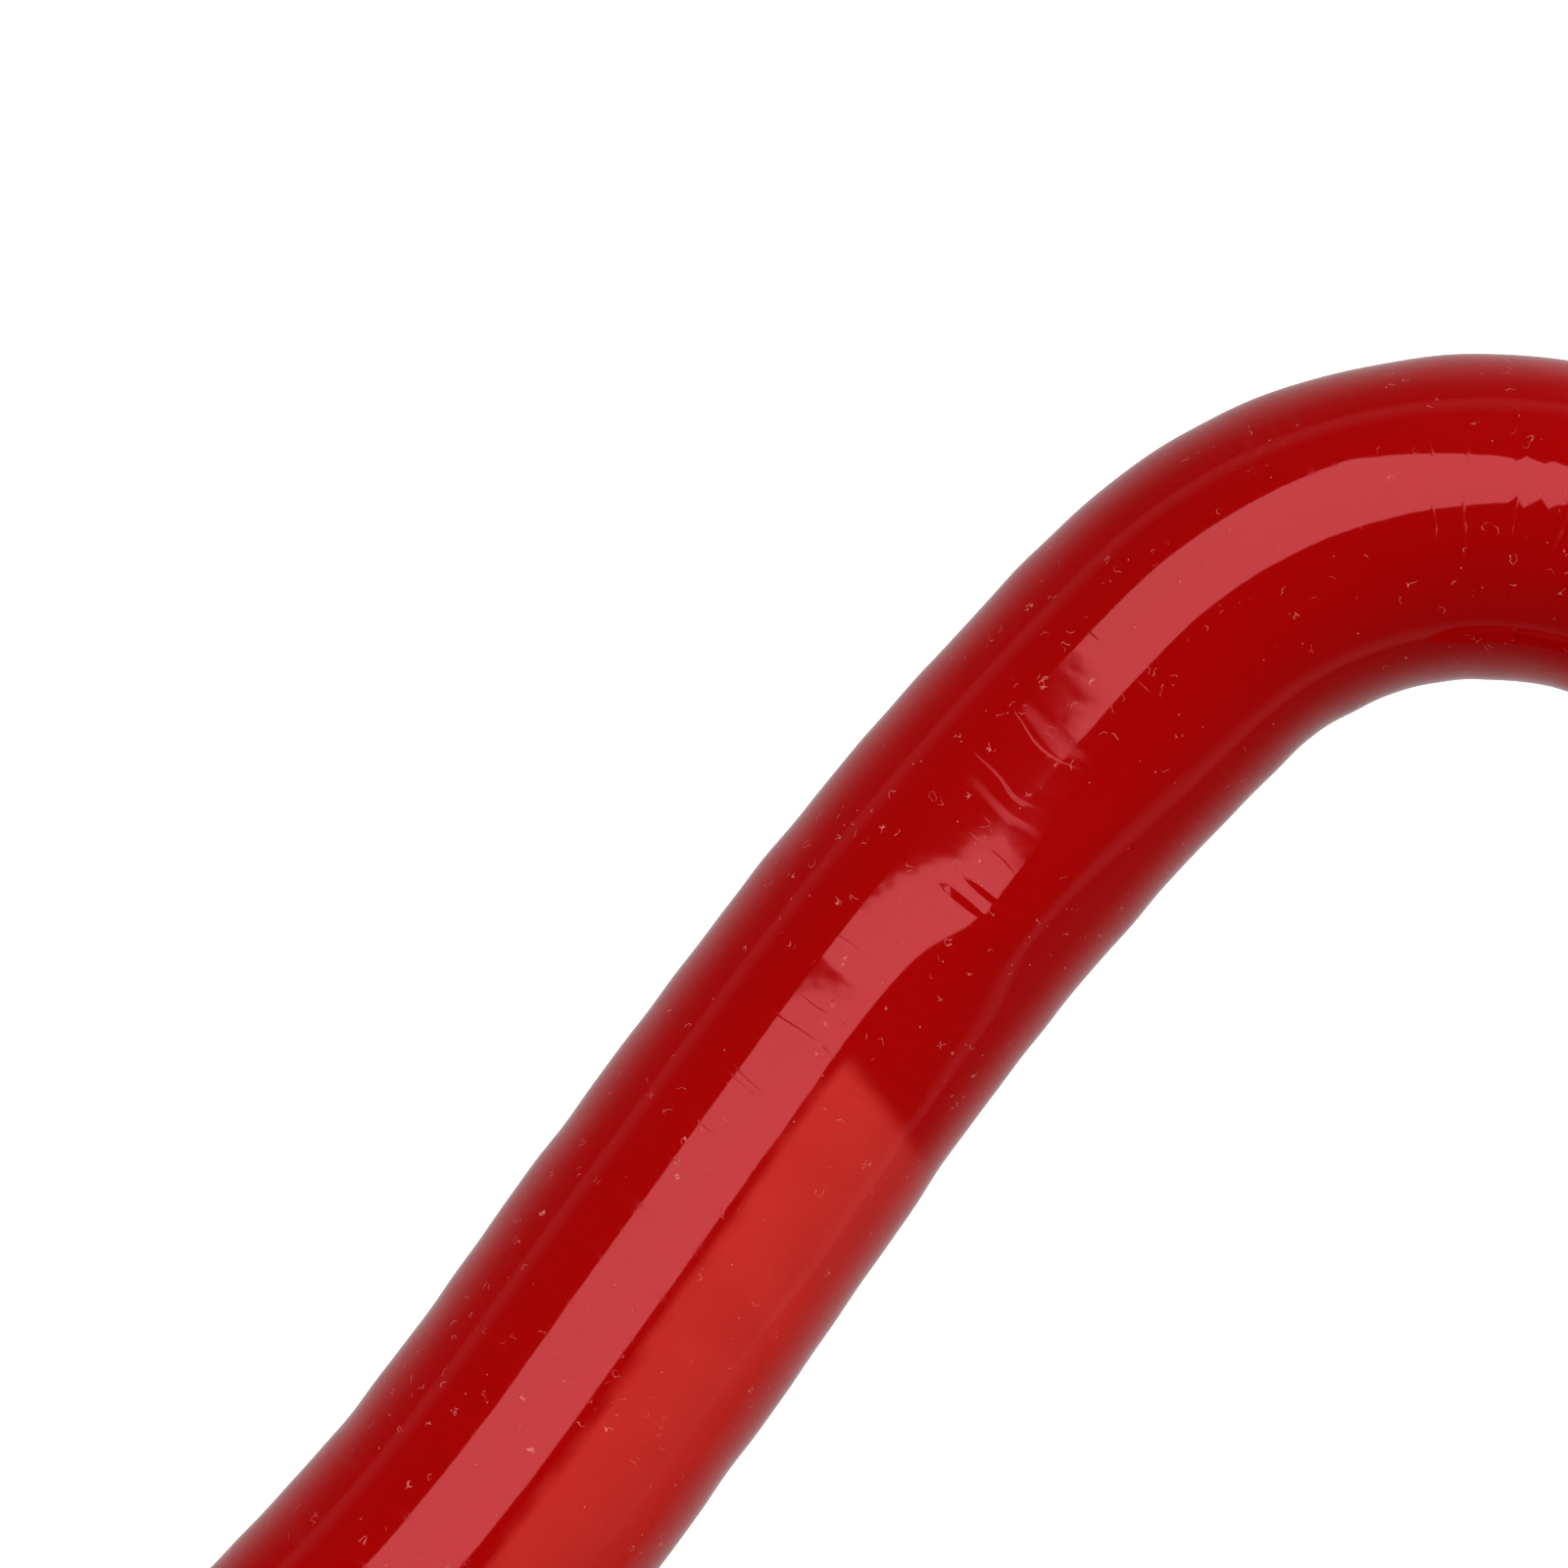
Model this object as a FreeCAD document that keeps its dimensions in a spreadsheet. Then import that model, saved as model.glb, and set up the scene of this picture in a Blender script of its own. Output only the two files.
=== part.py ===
"""Bar-type steering wheel lock: a tube and a notched sliding shaft, each with a sleeved hook.

Millimetres. The lock lies flat: +X runs along the bar from the grip to the sliding hook, +Y is
the side the hooks stand on, +Z is up. The origin is on the lock head's flat underside, below
the place where the axis of the locking bolt crosses the axis of the bar. At rest the shaft is
half extended, the bolt is drawn back and the key is in the cylinder.
"""
import FreeCAD, Part
import math
import os
import re
import Sketcher
from FreeCAD import Placement, Rotation, Vector

SIZES = {
    # steel tube and its foam grip
    "tube_diameter": 26.0,
    "tube_wall": 2.5,
    "tube_spare": 9.0,
    "grip_length": 140.0,
    "grip_wall": 6.0,
    "end_plug_length": 14.0,
    "end_spigot_radius": 4.0,
    "end_spigot_length": 9.8,
    "end_cap_thickness": 5.0,
    # notched shaft that slides in the tube
    "shaft_diameter": 15.0,
    "shaft_travel": 240.0,
    "shaft_prong": 60.0,
    "shaft_end_bevel": 1.35,
    "notch_pitch": 12.0,
    "notch_depth": 2.7,
    "notch_half_width": 2.2,
    "notch_ramp": 3.0,
    "guide_length": 12.0,
    "guide_spigot_radius": 6.0,
    "guide_screw_radius": 2.0,
    "guide_screw_length": 10.0,
    "guide_screw_head": 3.0,
    "guide_screw_rim": 1.5,
    "guide_screw_bevel": 1.0,
    # bent rod hooks and their plastic sleeves
    "rod_diameter": 9.0,
    "sleeve_wall": 1.7,
    "hook_foot_length": 18.0,
    "hook_foot_radius": 14.0,
    "hook_foot_angle": 44.5,
    "hook_sway_radius": 78.4,
    "hook_sway_angle": 9.9,
    "hook_leg_length": 15.0,
    "hook_ease_radius": 126.6,
    "hook_ease_angle": 9.5,
    "hook_crook_radius": 16.3,
    "hook_crook_angle": 59.9,
    "hook_tip_length": 14.0,
    "sleeve_start_angle": 31.0,
    "tip_cap_length": 9.0,
    "tip_cap_wall": 2.0,
    "bead_near": 0.9,
    "bead_far": 3.4,
    "bead_depth": 2.4,
    "bead_setback": 1.0,
    "hook_head_gap": 3.0,
    "prong_sleeve_gap": 16.0,
    "prong_sleeve_wall": 1.5,
    "prong_cap_grip": 8.0,
    "prong_cap_wall": 2.5,
    "cap_lip": 0.5,
    # cast lock block
    "shoulder_setback": 12.0,
    "block_rear": 45.0,
    "block_front": 34.0,
    "block_lock_side": 38.0,
    "block_hook_side": 10.0,
    "bush_length": 12.0,
    "bush_wall": 2.5,
    "bush_flange": 1.5,
    "tube_pin_radius": 2.0,
    "tube_pin_setback": 30.0,
    "tube_pin_length": 26.0,
    "tube_pin_hollow": 1.2,
    "tube_pin_half_slit": 0.3,
    # moulded head shells
    "shell_wall": 3.0,
    "shell_corner": 12.0,
    "shell_edge": 3.5,
    "parting_depth": 0.5,
    "parting_half_width": 0.4,
    "flute_count": 9.0,
    "flute_pitch": 6.5,
    "flute_radius": 2.4,
    "flute_depth": 1.0,
    "flute_end_gap": 7.0,
    "collar_length": 6.0,
    "collar_wall": 4.0,
    "screw_radius": 1.5,
    "screw_head_radius": 2.8,
    "screw_head_height": 1.8,
    "screw_inset": 6.0,
    "boss_radius": 3.4,
    "boss_length": 8.0,
    "socket_radius": 1.35,
    "socket_depth": 1.26,
    "deep_socket": 2.0,
    # locking bolt and its spring
    "bolt_radius": 5.0,
    "bolt_travel": 3.0,
    "bolt_setback": 0.5,
    "bolt_tail": 12.0,
    "bolt_slot_depth": 3.8,
    "bolt_slot_play": 0.13,
    "bolt_tip_gap": 0.2,
    "bore_plug_gap": 0.4,
    "spring_pocket_radius": 3.0,
    "spring_pocket_depth": 6.5,
    "spring_radius": 2.5,
    "spring_wire": 0.3,
    "spring_turns": 6.0,
    # key cylinder
    "cylinder_offset": 22.0,
    "cylinder_radius": 9.5,
    "cylinder_stand": 1.0,
    "cylinder_above_bolt": 2.5,
    "cylinder_ledge": 3.5,
    "plug_radius": 6.5,
    "tail_radius": 5.25,
    "tail_groove_radius": 4.4,
    "tail_drop": 2.2,
    "clip_radius": 7.0,
    "clip_thickness": 0.8,
    "clip_drop": 0.1,
    "clip_play": 0.05,
    "clip_room": 0.5,
    "clip_half_mouth": 3.08,
    "drive_pin_radius": 1.8,
    "drive_pin_seat": 1.0,
    "drive_pin_lift": 0.3,
    "wafer_count": 5.0,
    "wafer_pitch": 2.2,
    "wafer_thickness": 1.0,
    "wafer_half_width": 3.0,
    "wafer_top_drop": 3.4,
    "wafer_foot_rise": 1.8,
    "wafer_spring_offset": 4.0,
    "wafer_spring_radius": 0.6,
    "wafer_spring_wire": 0.13,
    "wafer_spring_pocket": 4.0,
    "wafer_spring_gap": 0.05,
    "wafer_spring_turns": 6.0,
    "wafer_channel_depth": 1.2,
    "wafer_channel_gap": 0.1,
    "set_screw_radius": 2.0,
    "set_screw_rise": 8.0,
    "set_screw_bite": 1.0,
    "ring_width": 3.0,
    "ring_height": 1.4,
    # key
    "key_half_thickness": 1.0,
    "key_half_width": 3.5,
    "key_tip_length": 1.2,
    "key_shoulder": 5.0,
    "key_tang": 14.0,
    "key_shoulder_gap": 0.8,
    "key_tip_taper": 1.5,
    "key_notch_half": 0.924,
    "bow_stand": 2.5,
    "bow_height": 24.0,
    "bow_half_width": 12.0,
    "bow_half_thickness": 3.2,
    "bow_waist": 6.6,
    "bow_flare": 9.6,
    "bow_corner": 5.0,
    "bow_hole_radius": 2.6,
    "bow_hole_drop": 6.5,
    # clearances
    "running_gap": 0.06,
    "loose_gap": 0.15,
    # how far a cutting solid runs past the faces it cuts
    "cut_past": 1.0,
}

# Places that follow from the driving sizes, as expressions in the sheet's aliases.
TUBE_R = "(tube_diameter / 2)"
BORE_R = "(tube_diameter / 2 - tube_wall)"
SHAFT_R = "(shaft_diameter / 2)"
ROD_R = "(rod_diameter / 2)"
SLEEVE_R = f"({ROD_R} + sleeve_wall)"
GRIP_R = f"({TUBE_R} + grip_wall)"
BAR_Z = GRIP_R
TUBE_FRONT = "(-shoulder_setback)"
SHAFT_TAIL = f"({TUBE_FRONT} - shaft_travel / 2 - loose_gap - guide_length)"
SCREW_END = f"({SHAFT_TAIL} - guide_screw_head)"
TUBE_REAR = f"({SCREW_END} - shaft_travel / 2 - tube_spare - end_plug_length)"
BLOCK_BACK = f"({TUBE_R} + block_hook_side)"
HEAD_FRONT = "(block_front + shell_wall + collar_length)"
HEAD_REAR = "(-block_rear - shell_wall - collar_length)"
SHAFT_HOOK_X = f"({HEAD_FRONT} + hook_head_gap + shaft_travel / 2 + hook_foot_length)"
BODY_HOOK_X = f"({HEAD_REAR} - hook_head_gap - hook_foot_length)"
SHAFT_FRONT = f"({SHAFT_HOOK_X} + shaft_prong)"
BOLT_TIP = f"(-{SHAFT_R} - bolt_setback)"
BOLT_BACK = "(-cylinder_offset - bolt_tail)"
SPRING_SEAT = f"({BOLT_BACK} + spring_pocket_depth)"
BORE_PLUG_FRONT = f"({BOLT_BACK} - bore_plug_gap)"
PIN_OFFSET = "(bolt_travel / 2)"
CYLINDER_BOTTOM = f"({BAR_Z} + bolt_radius + cylinder_above_bolt)"
PLUG_SEAT = f"({CYLINDER_BOTTOM} + cylinder_ledge)"
LOWEST_WAFER = f"({PLUG_SEAT} + wafer_foot_rise)"
CYLINDER_TOP = f"({LOWEST_WAFER} + (wafer_count - 1) * wafer_pitch + wafer_top_drop)"
HEAD_TOP = f"({CYLINDER_TOP} - cylinder_stand)"
BLOCK_TOP = f"({HEAD_TOP} - shell_wall)"
KEY_BOTTOM = f"({LOWEST_WAFER} - key_tip_length)"
TAIL_BOTTOM = f"({CYLINDER_BOTTOM} - tail_drop)"
CLIP_BOTTOM = f"({CYLINDER_BOTTOM} - clip_drop - clip_thickness)"
SET_SCREW_Z = f"({CYLINDER_BOTTOM} + set_screw_rise)"
DRIVE_PIN_TOP = f"({PLUG_SEAT} - drive_pin_seat)"
WAFER_SPRING_START = "(-cylinder_offset - wafer_spring_pocket / 2)"
SIDE_SOCKET = ("-block_lock_side - cut_past", "-block_lock_side + deep_socket")
SET_SCREW_END = "(-cylinder_offset - cylinder_radius + set_screw_bite)"
SCREW_SPOTS = [
    ("-block_rear + screw_inset", "-block_lock_side + screw_inset"),
    ("block_front - screw_inset", "-block_lock_side + screw_inset"),
    ("-block_rear + screw_inset", f"{TUBE_R} + block_hook_side / 2"),
    ("block_front - screw_inset", f"{TUBE_R} + block_hook_side / 2"),
]

doc = FreeCAD.newDocument("SteeringWheelLock")
sheet = doc.addObject("Spreadsheet::Sheet", "Sizes")
for row, (alias, size) in enumerate(SIZES.items(), start=1):
    sheet.set(f"A{row}", alias)
    sheet.set(f"B{row}", str(size))
    sheet.setAlias(f"B{row}", alias)
doc.recompute()
subparts = []


# ---------------------------------------------------------------- helpers

def bound(text):
    """The expression with each alias pointed at its cell in the sheet."""
    return re.sub(r"[a-z][a-z_]*", lambda word: f"Sizes.{word[0]}" if word[0] in SIZES else word[0], text)


def number(text):
    """What the expression comes to with the sheet's present values."""
    found = sheet.evalExpression(bound(text))
    return float(getattr(found, "Value", found))


def minus(text):
    return f"-({text})"


def place(thing, x="0", y="0", z="0", turn=Rotation()):
    """Turn an object, then tie its position to the sheet."""
    thing.Placement = Placement(Vector(), turn)
    for axis, text in zip("xyz", (x, y, z)):
        thing.setExpression(f"Placement.Base.{axis}", bound(text))
    return thing


def subpart(thing, label):
    """Name a finished piece and list it for export."""
    thing.Label = label
    subparts.append(thing)
    return thing


def new_body(name):
    return doc.addObject("PartDesign::Body", name)


def sketch_on(body, role):
    """An empty sketch on one of the body's own origin planes."""
    sketch = body.newObject("Sketcher::SketchObject", f"{body.Name}_sketch")
    plane = next(feature for feature in body.Origin.OriginFeatures if feature.Role == role)
    sketch.AttachmentSupport = (plane, [""])
    sketch.MapMode = "FlatFace"
    return sketch


def constrain(sketch, name, constraint, text):
    """Add a dimension to a sketch and tie it to an expression."""
    index = sketch.addConstraint(constraint)
    sketch.renameConstraint(index, name)
    sketch.setExpression(f"Constraints.{name}", bound(text))


def draw_outline(sketch, points):
    """A closed straight-sided outline whose corners are expressions."""
    corners = [Vector(number(x), number(y), 0) for x, y in points]
    first = len(sketch.Geometry)
    for index, corner in enumerate(corners):
        sketch.addGeometry(Part.LineSegment(corner, corners[(index + 1) % len(corners)]), False)
    for index, (x, y) in enumerate(points):
        line = first + index
        following = first + (index + 1) % len(points)
        sketch.addConstraint(Sketcher.Constraint("Coincident", line, 2, following, 1))
        across = Sketcher.Constraint("DistanceX", -1, 1, line, 1, number(x))
        up = Sketcher.Constraint("DistanceY", -1, 1, line, 1, number(y))
        constrain(sketch, f"x{line}", across, x)
        constrain(sketch, f"y{line}", up, y)


def draw_circle(sketch, radius, x="0", y="0"):
    centre = Vector(number(x), number(y), 0)
    circle = sketch.addGeometry(Part.Circle(centre, Vector(0, 0, 1), number(radius)), False)
    constrain(sketch, f"x{circle}", Sketcher.Constraint("DistanceX", -1, 1, circle, 3, centre.x), x)
    constrain(sketch, f"y{circle}", Sketcher.Constraint("DistanceY", -1, 1, circle, 3, centre.y), y)
    constrain(sketch, f"r{circle}", Sketcher.Constraint("Radius", circle, number(radius)), radius)


def turned(name, role, axis, points):
    """A body turned about a sketch axis: H_Axis is the plane's first direction, V_Axis its second."""
    body = new_body(name)
    sketch = sketch_on(body, role)
    draw_outline(sketch, points)
    turning = body.newObject("PartDesign::Revolution", f"{name}_turning")
    turning.Profile = sketch
    turning.ReferenceAxis = (sketch, [axis])
    turning.Angle = 360
    return body


def turned_on_bar(name, points):
    """A turned piece on the bar's axis; each point is a place along X and a radius."""
    return place(turned(name, "XY_Plane", "H_Axis", points), z=BAR_Z)


def turned_upright(name, points):
    """A turned piece on the key cylinder's axis; each point is a radius and a height."""
    return place(turned(name, "XZ_Plane", "V_Axis", points), y="-cylinder_offset")


def padded(name, role, thickness, points):
    """A plate of even thickness, centred on its sketch plane."""
    body = new_body(name)
    sketch = sketch_on(body, role)
    draw_outline(sketch, points)
    pad = body.newObject("PartDesign::Pad", f"{name}_pad")
    pad.Profile = sketch
    pad.SideType = "Symmetric"
    pad.setExpression("Length", bound(thickness))
    return body


def round_edges(body, radius, wanted):
    """Fillet every edge of the body's last feature that the test accepts."""
    doc.recompute()
    last = body.Tip
    names = [f"Edge{index}" for index, edge in enumerate(last.Shape.Edges, start=1) if wanted(edge)]
    fillet = body.newObject("PartDesign::Fillet", f"{body.Name}_fillet")
    fillet.Base = (last, names)
    fillet.setExpression("Radius", bound(radius))


def runs_along(edge, axis):
    """Whether an edge is straight and parallel to the axis."""
    if edge.Curve.TypeId != "Part::GeomLine":
        return False
    return abs(edge.tangentAt(edge.FirstParameter).dot(axis)) > 0.999


def box(name, x, y, z):
    """A box between two expressions along each axis."""
    solid = doc.addObject("Part::Box", name)
    for size, (low, high) in zip(("Length", "Width", "Height"), (x, y, z)):
        solid.setExpression(size, bound(f"({high}) - ({low})"))
    return place(solid, x[0], y[0], z[0])


ALONG = {"X": Rotation(Vector(0, 1, 0), 90), "Y": Rotation(Vector(1, 0, 0), -90), "Z": Rotation()}


def rod(name, axis, radius, span, x="0", y="0", z="0"):
    """A cylinder along an axis, over a span, through the point that the other two places give."""
    solid = doc.addObject("Part::Cylinder", name)
    solid.setExpression("Radius", bound(radius))
    solid.setExpression("Height", bound(f"({span[1]}) - ({span[0]})"))
    spot = {"X": x, "Y": y, "Z": z, axis: span[0]}
    return place(solid, spot["X"], spot["Y"], spot["Z"], ALONG[axis])


def joined(name, pieces):
    fuse = doc.addObject("Part::MultiFuse", name)
    fuse.Shapes = pieces
    return fuse


def cut(name, base, tools):
    result = doc.addObject("Part::Cut", name)
    result.Base = base
    result.Tool = tools[0] if len(tools) == 1 else joined(f"{name}_tools", tools)
    return result


def group(name, pieces):
    """Identical pieces kept as separate solids in one object."""
    together = doc.addObject("Part::Compound", name)
    together.Links = pieces
    return together


def hex_socket(name, axis, span, x="0", y="0", z="0"):
    """A hexagonal hole for a driver."""
    socket = doc.addObject("Part::Prism", name)
    socket.Polygon = 6
    socket.setExpression("Circumradius", bound("socket_radius"))
    socket.setExpression("Height", bound(f"({span[1]}) - ({span[0]})"))
    spot = {"X": x, "Y": y, "Z": z, axis: span[0]}
    return place(socket, spot["X"], spot["Y"], spot["Z"], ALONG[axis])


def coil_spring(radius, wire, length, turns):
    """A helical spring of round wire along +Z, its ends on the two end planes."""
    radius, wire, turns = number(radius), number(wire), number(turns)
    height = number(length) - 2 * wire
    line = Part.Wire(Part.makeHelix(height / turns, height, radius).Edges)
    section = Part.Wire([Part.makeCircle(wire, Vector(radius, 0, 0), Vector(0, 1, 0))])
    spring = line.makePipeShell([section], True, True)
    return spring.transformed(Placement(Vector(0, 0, wire), Rotation()).toMatrix(), True)


# ---------------------------------------------------------------- tube and grip

def body_tube():
    outline = [(TUBE_REAR, BORE_R), (TUBE_FRONT, BORE_R), (TUBE_FRONT, TUBE_R), (TUBE_REAR, TUBE_R)]
    tube = turned_on_bar("BodyTube", outline)
    notches = sketch_on(tube, "XY_Plane")
    for side in (TUBE_R, minus(TUBE_R)):
        draw_circle(notches, "tube_pin_radius", "-tube_pin_setback", side)
    pocket = tube.newObject("PartDesign::Pocket", "PinNotches")
    pocket.Profile = notches
    pocket.Type = "ThroughAll"
    pocket.SideType = "Symmetric"
    subpart(tube, "body_tube")


def tube_end_plug():
    front = f"{TUBE_REAR} + end_plug_length"
    outline = [
        (TUBE_REAR, "end_spigot_radius"),
        (front, "end_spigot_radius"),
        (front, BORE_R),
        (TUBE_REAR, BORE_R),
    ]
    subpart(turned_on_bar("TubeEndPlug", outline), "tube_end_plug")


def grip():
    front = f"{TUBE_REAR} + grip_length"
    bevel = "grip_wall / 3"
    outline = [
        (TUBE_REAR, TUBE_R),
        (front, TUBE_R),
        (front, f"{GRIP_R} - {bevel}"),
        (f"{front} - {bevel}", GRIP_R),
        (TUBE_REAR, GRIP_R),
    ]
    subpart(turned_on_bar("Grip", outline), "grip")


def grip_end_cap():
    """A moulded disc whose spigot is pushed into the plug in the tube's end."""
    outside = f"{TUBE_REAR} - end_cap_thickness"
    spigot_end = f"{TUBE_REAR} + end_spigot_length"
    rim = f"({GRIP_R} - cap_lip)"
    outline = [
        (outside, "0"),
        (spigot_end, "0"),
        (spigot_end, "end_spigot_radius"),
        (TUBE_REAR, "end_spigot_radius"),
        (TUBE_REAR, rim),
        (f"{outside} + end_cap_thickness / 2", rim),
        (outside, f"{rim} - end_cap_thickness / 2"),
    ]
    subpart(turned_on_bar("GripEndCap", outline), "grip_end_cap")


# ---------------------------------------------------------------- sliding shaft

def shaft():
    """The bar that slides: a spigot for the guide ring at its tail and a row of saw-tooth notches."""
    spigot_end = f"{SHAFT_TAIL} + guide_length"
    screw_end = f"{SHAFT_TAIL} + guide_screw_length"
    outline = [
        (screw_end, "0"),
        (SHAFT_FRONT, "0"),
        (SHAFT_FRONT, f"{SHAFT_R} - shaft_end_bevel"),
        (f"{SHAFT_FRONT} - shaft_end_bevel", SHAFT_R),
        (spigot_end, SHAFT_R),
        (spigot_end, "guide_spigot_radius"),
        (SHAFT_TAIL, "guide_spigot_radius"),
        (SHAFT_TAIL, "guide_screw_radius"),
        (screw_end, "guide_screw_radius"),
    ]
    bar = turned_on_bar("Shaft", outline)
    profile = sketch_on(bar, "XY_Plane")
    first = "(-shaft_travel / 2)"
    above = f"{SHAFT_R} + cut_past"
    draw_outline(profile, [
        (f"{first} - notch_half_width", f"{SHAFT_R} - notch_depth"),
        (f"{first} + notch_half_width", f"{SHAFT_R} - notch_depth"),
        (f"{first} + notch_half_width", above),
        (f"{first} - notch_half_width - notch_ramp", above),
        (f"{first} - notch_half_width - notch_ramp", SHAFT_R),
    ])
    groove = bar.newObject("PartDesign::Groove", "Notch")
    groove.Profile = profile
    groove.ReferenceAxis = (profile, ["H_Axis"])
    groove.Angle = 360
    doc.recompute()
    row = bar.newObject("PartDesign::LinearPattern", "NotchRow")
    row.Originals = [groove]
    row.Direction = (profile, ["H_Axis"])
    row.setExpression("Length", bound("floor(shaft_travel / notch_pitch) * notch_pitch"))
    row.setExpression("Occurrences", bound("floor(shaft_travel / notch_pitch) + 1"))
    bar.Tip = row
    subpart(bar, "shaft")


def guide_ring():
    """The sliding bearing at the shaft's tail; it stops against the block's shoulder."""
    end = f"{SHAFT_TAIL} + guide_length"
    outer = f"{BORE_R} - running_gap"
    outline = [
        (SHAFT_TAIL, "guide_spigot_radius"),
        (end, "guide_spigot_radius"),
        (end, outer),
        (SHAFT_TAIL, outer),
    ]
    subpart(turned_on_bar("GuideRing", outline), "guide_ring")


def guide_screw():
    """A pan-head screw that holds the guide ring on its spigot."""
    head_radius = "guide_spigot_radius + guide_screw_rim"
    outline = [
        (SCREW_END, "0"),
        (f"{SHAFT_TAIL} + guide_screw_length", "0"),
        (f"{SHAFT_TAIL} + guide_screw_length", "guide_screw_radius"),
        (SHAFT_TAIL, "guide_screw_radius"),
        (SHAFT_TAIL, head_radius),
        (f"{SCREW_END} + guide_screw_bevel", head_radius),
        (SCREW_END, f"{head_radius} - guide_screw_bevel"),
    ]
    pan = turned_on_bar("GuideScrewPan", outline)
    socket = hex_socket("GuideScrewSocket", "X", (SCREW_END, f"{SCREW_END} + deep_socket"), z=BAR_Z)
    subpart(cut("GuideScrew", pan, [socket]), "guide_screw")


def prong_sleeve():
    start = f"{SHAFT_HOOK_X} + prong_sleeve_gap"
    end = f"{SHAFT_FRONT} - prong_cap_grip"
    outer = f"{SHAFT_R} + prong_sleeve_wall"
    outline = [(start, SHAFT_R), (end, SHAFT_R), (end, outer), (start, outer)]
    subpart(turned_on_bar("ProngSleeve", outline), "shaft_end_sleeve")


def prong_cap():
    """A moulded cup over the shaft's front end."""
    start = f"{SHAFT_FRONT} - prong_cap_grip"
    outside = f"{SHAFT_FRONT} + prong_cap_wall"
    outer = f"({SHAFT_R} + prong_sleeve_wall + cap_lip)"
    outline = [
        (start, SHAFT_R),
        (f"{SHAFT_FRONT} - shaft_end_bevel", SHAFT_R),
        (SHAFT_FRONT, f"{SHAFT_R} - shaft_end_bevel"),
        (SHAFT_FRONT, "0"),
        (outside, "0"),
        (outside, f"{outer} - prong_cap_wall"),
        (f"{outside} - prong_cap_wall", outer),
        (start, outer),
    ]
    subpart(turned_on_bar("ProngCap", outline), "shaft_end_cap")


# ---------------------------------------------------------------- hooks

# The bend of a hook from the end of its foot to its tip: (radius, turn) is an arc, turning to the
# left when the turn is positive, and (length,) is a straight run.
HOOK_BEND = [
    ("hook_sway_radius", "hook_sway_angle"),
    ("hook_leg_length",),
    ("hook_ease_radius", "-hook_ease_angle"),
    ("hook_crook_radius", "-hook_crook_angle"),
]


def after(move, start):
    """Where a run or arc that begins at the placement ends, and which way it then heads."""
    if len(move) == 1:
        return start * Placement(Vector(number(move[0]), 0, 0), Rotation())
    turn = number(move[1])
    reach = math.copysign(number(move[0]), turn)
    angle = math.radians(turn)
    end = Vector(reach * math.sin(angle), reach * (1 - math.cos(angle)), 0)
    return start * Placement(end, Rotation(Vector(0, 0, 1), turn))


def draw_path(sketch, moves):
    """Straight runs and arcs, each tangent to the one before, from the origin along the first axis."""
    spot = Placement()
    joint = None
    for move in moves:
        following = after(move, spot)
        heading = spot.Rotation.multVec(Vector(1, 0, 0))
        if len(move) == 1:
            edge = sketch.addGeometry(Part.LineSegment(spot.Base, following.Base), False)
            ends = (1, 2)
            length = Sketcher.Constraint("Distance", edge, number(move[0]))
            constrain(sketch, f"length{edge}", length, move[0])
        else:
            turn = number(move[1])
            middle = after((move[0], f"({move[1]}) / 2"), spot).Base
            arc = Part.Arc(spot.Base, middle, following.Base)
            edge = sketch.addGeometry(arc, False)
            ends = (1, 2) if turn > 0 else (2, 1)
            radius = Sketcher.Constraint("Radius", edge, number(move[0]))
            constrain(sketch, f"radius{edge}", radius, move[0])
            angle = Sketcher.Constraint("Angle", edge, math.radians(abs(turn)))
            constrain(sketch, f"turn{edge}", angle, f"abs({move[1]})")
        if joint is None:
            sketch.addConstraint(Sketcher.Constraint("Coincident", edge, ends[0], -1, 1))
            if len(move) == 1:
                sketch.addConstraint(Sketcher.Constraint("Horizontal", edge))
            else:
                sketch.addConstraint(Sketcher.Constraint("PointOnObject", edge, 3, -2))
        else:
            sketch.addConstraint(Sketcher.Constraint("Tangent", joint[0], joint[1], edge, ends[0]))
        joint = (edge, ends[1])
        spot = following


def swept(name, moves, radii):
    """A round section, with a hole if two radii are given, swept along a path."""
    body = new_body(name)
    path = sketch_on(body, "XY_Plane")
    draw_path(path, moves)
    section = sketch_on(body, "YZ_Plane")
    for radius in radii:
        draw_circle(section, radius)
    pipe = body.newObject("PartDesign::AdditivePipe", f"{name}_pipe")
    pipe.Profile = section
    pipe.Spine = (path, [])
    return body


def weld_beads(name, bar_radius, foot_end, x_span):
    """Two fillet welds in the grooves where the hook's foot lies along the bar."""
    touch = f"({bar_radius})"
    beads = []
    for side, (low, high) in enumerate((("bead_near", "bead_far"), ("-bead_far", "-bead_near"))):
        z_span = (f"{BAR_Z} + {low}", f"{BAR_Z} + {high}")
        y_span = (f"{touch} - bead_depth", f"{touch} + bead_depth")
        block = box(f"{name}_block{side}", x_span, y_span, z_span)
        bar = rod(f"{name}_bar{side}", "X", bar_radius, x_span, z=BAR_Z)
        foot = rod(f"{name}_foot{side}", "X", ROD_R, x_span, y=f"{touch} + {ROD_R}", z=BAR_Z)
        beads.append(cut(f"{name}_bead{side}", block, [bar, foot]))
    subpart(group(name, beads), f"{foot_end}_weld")


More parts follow.
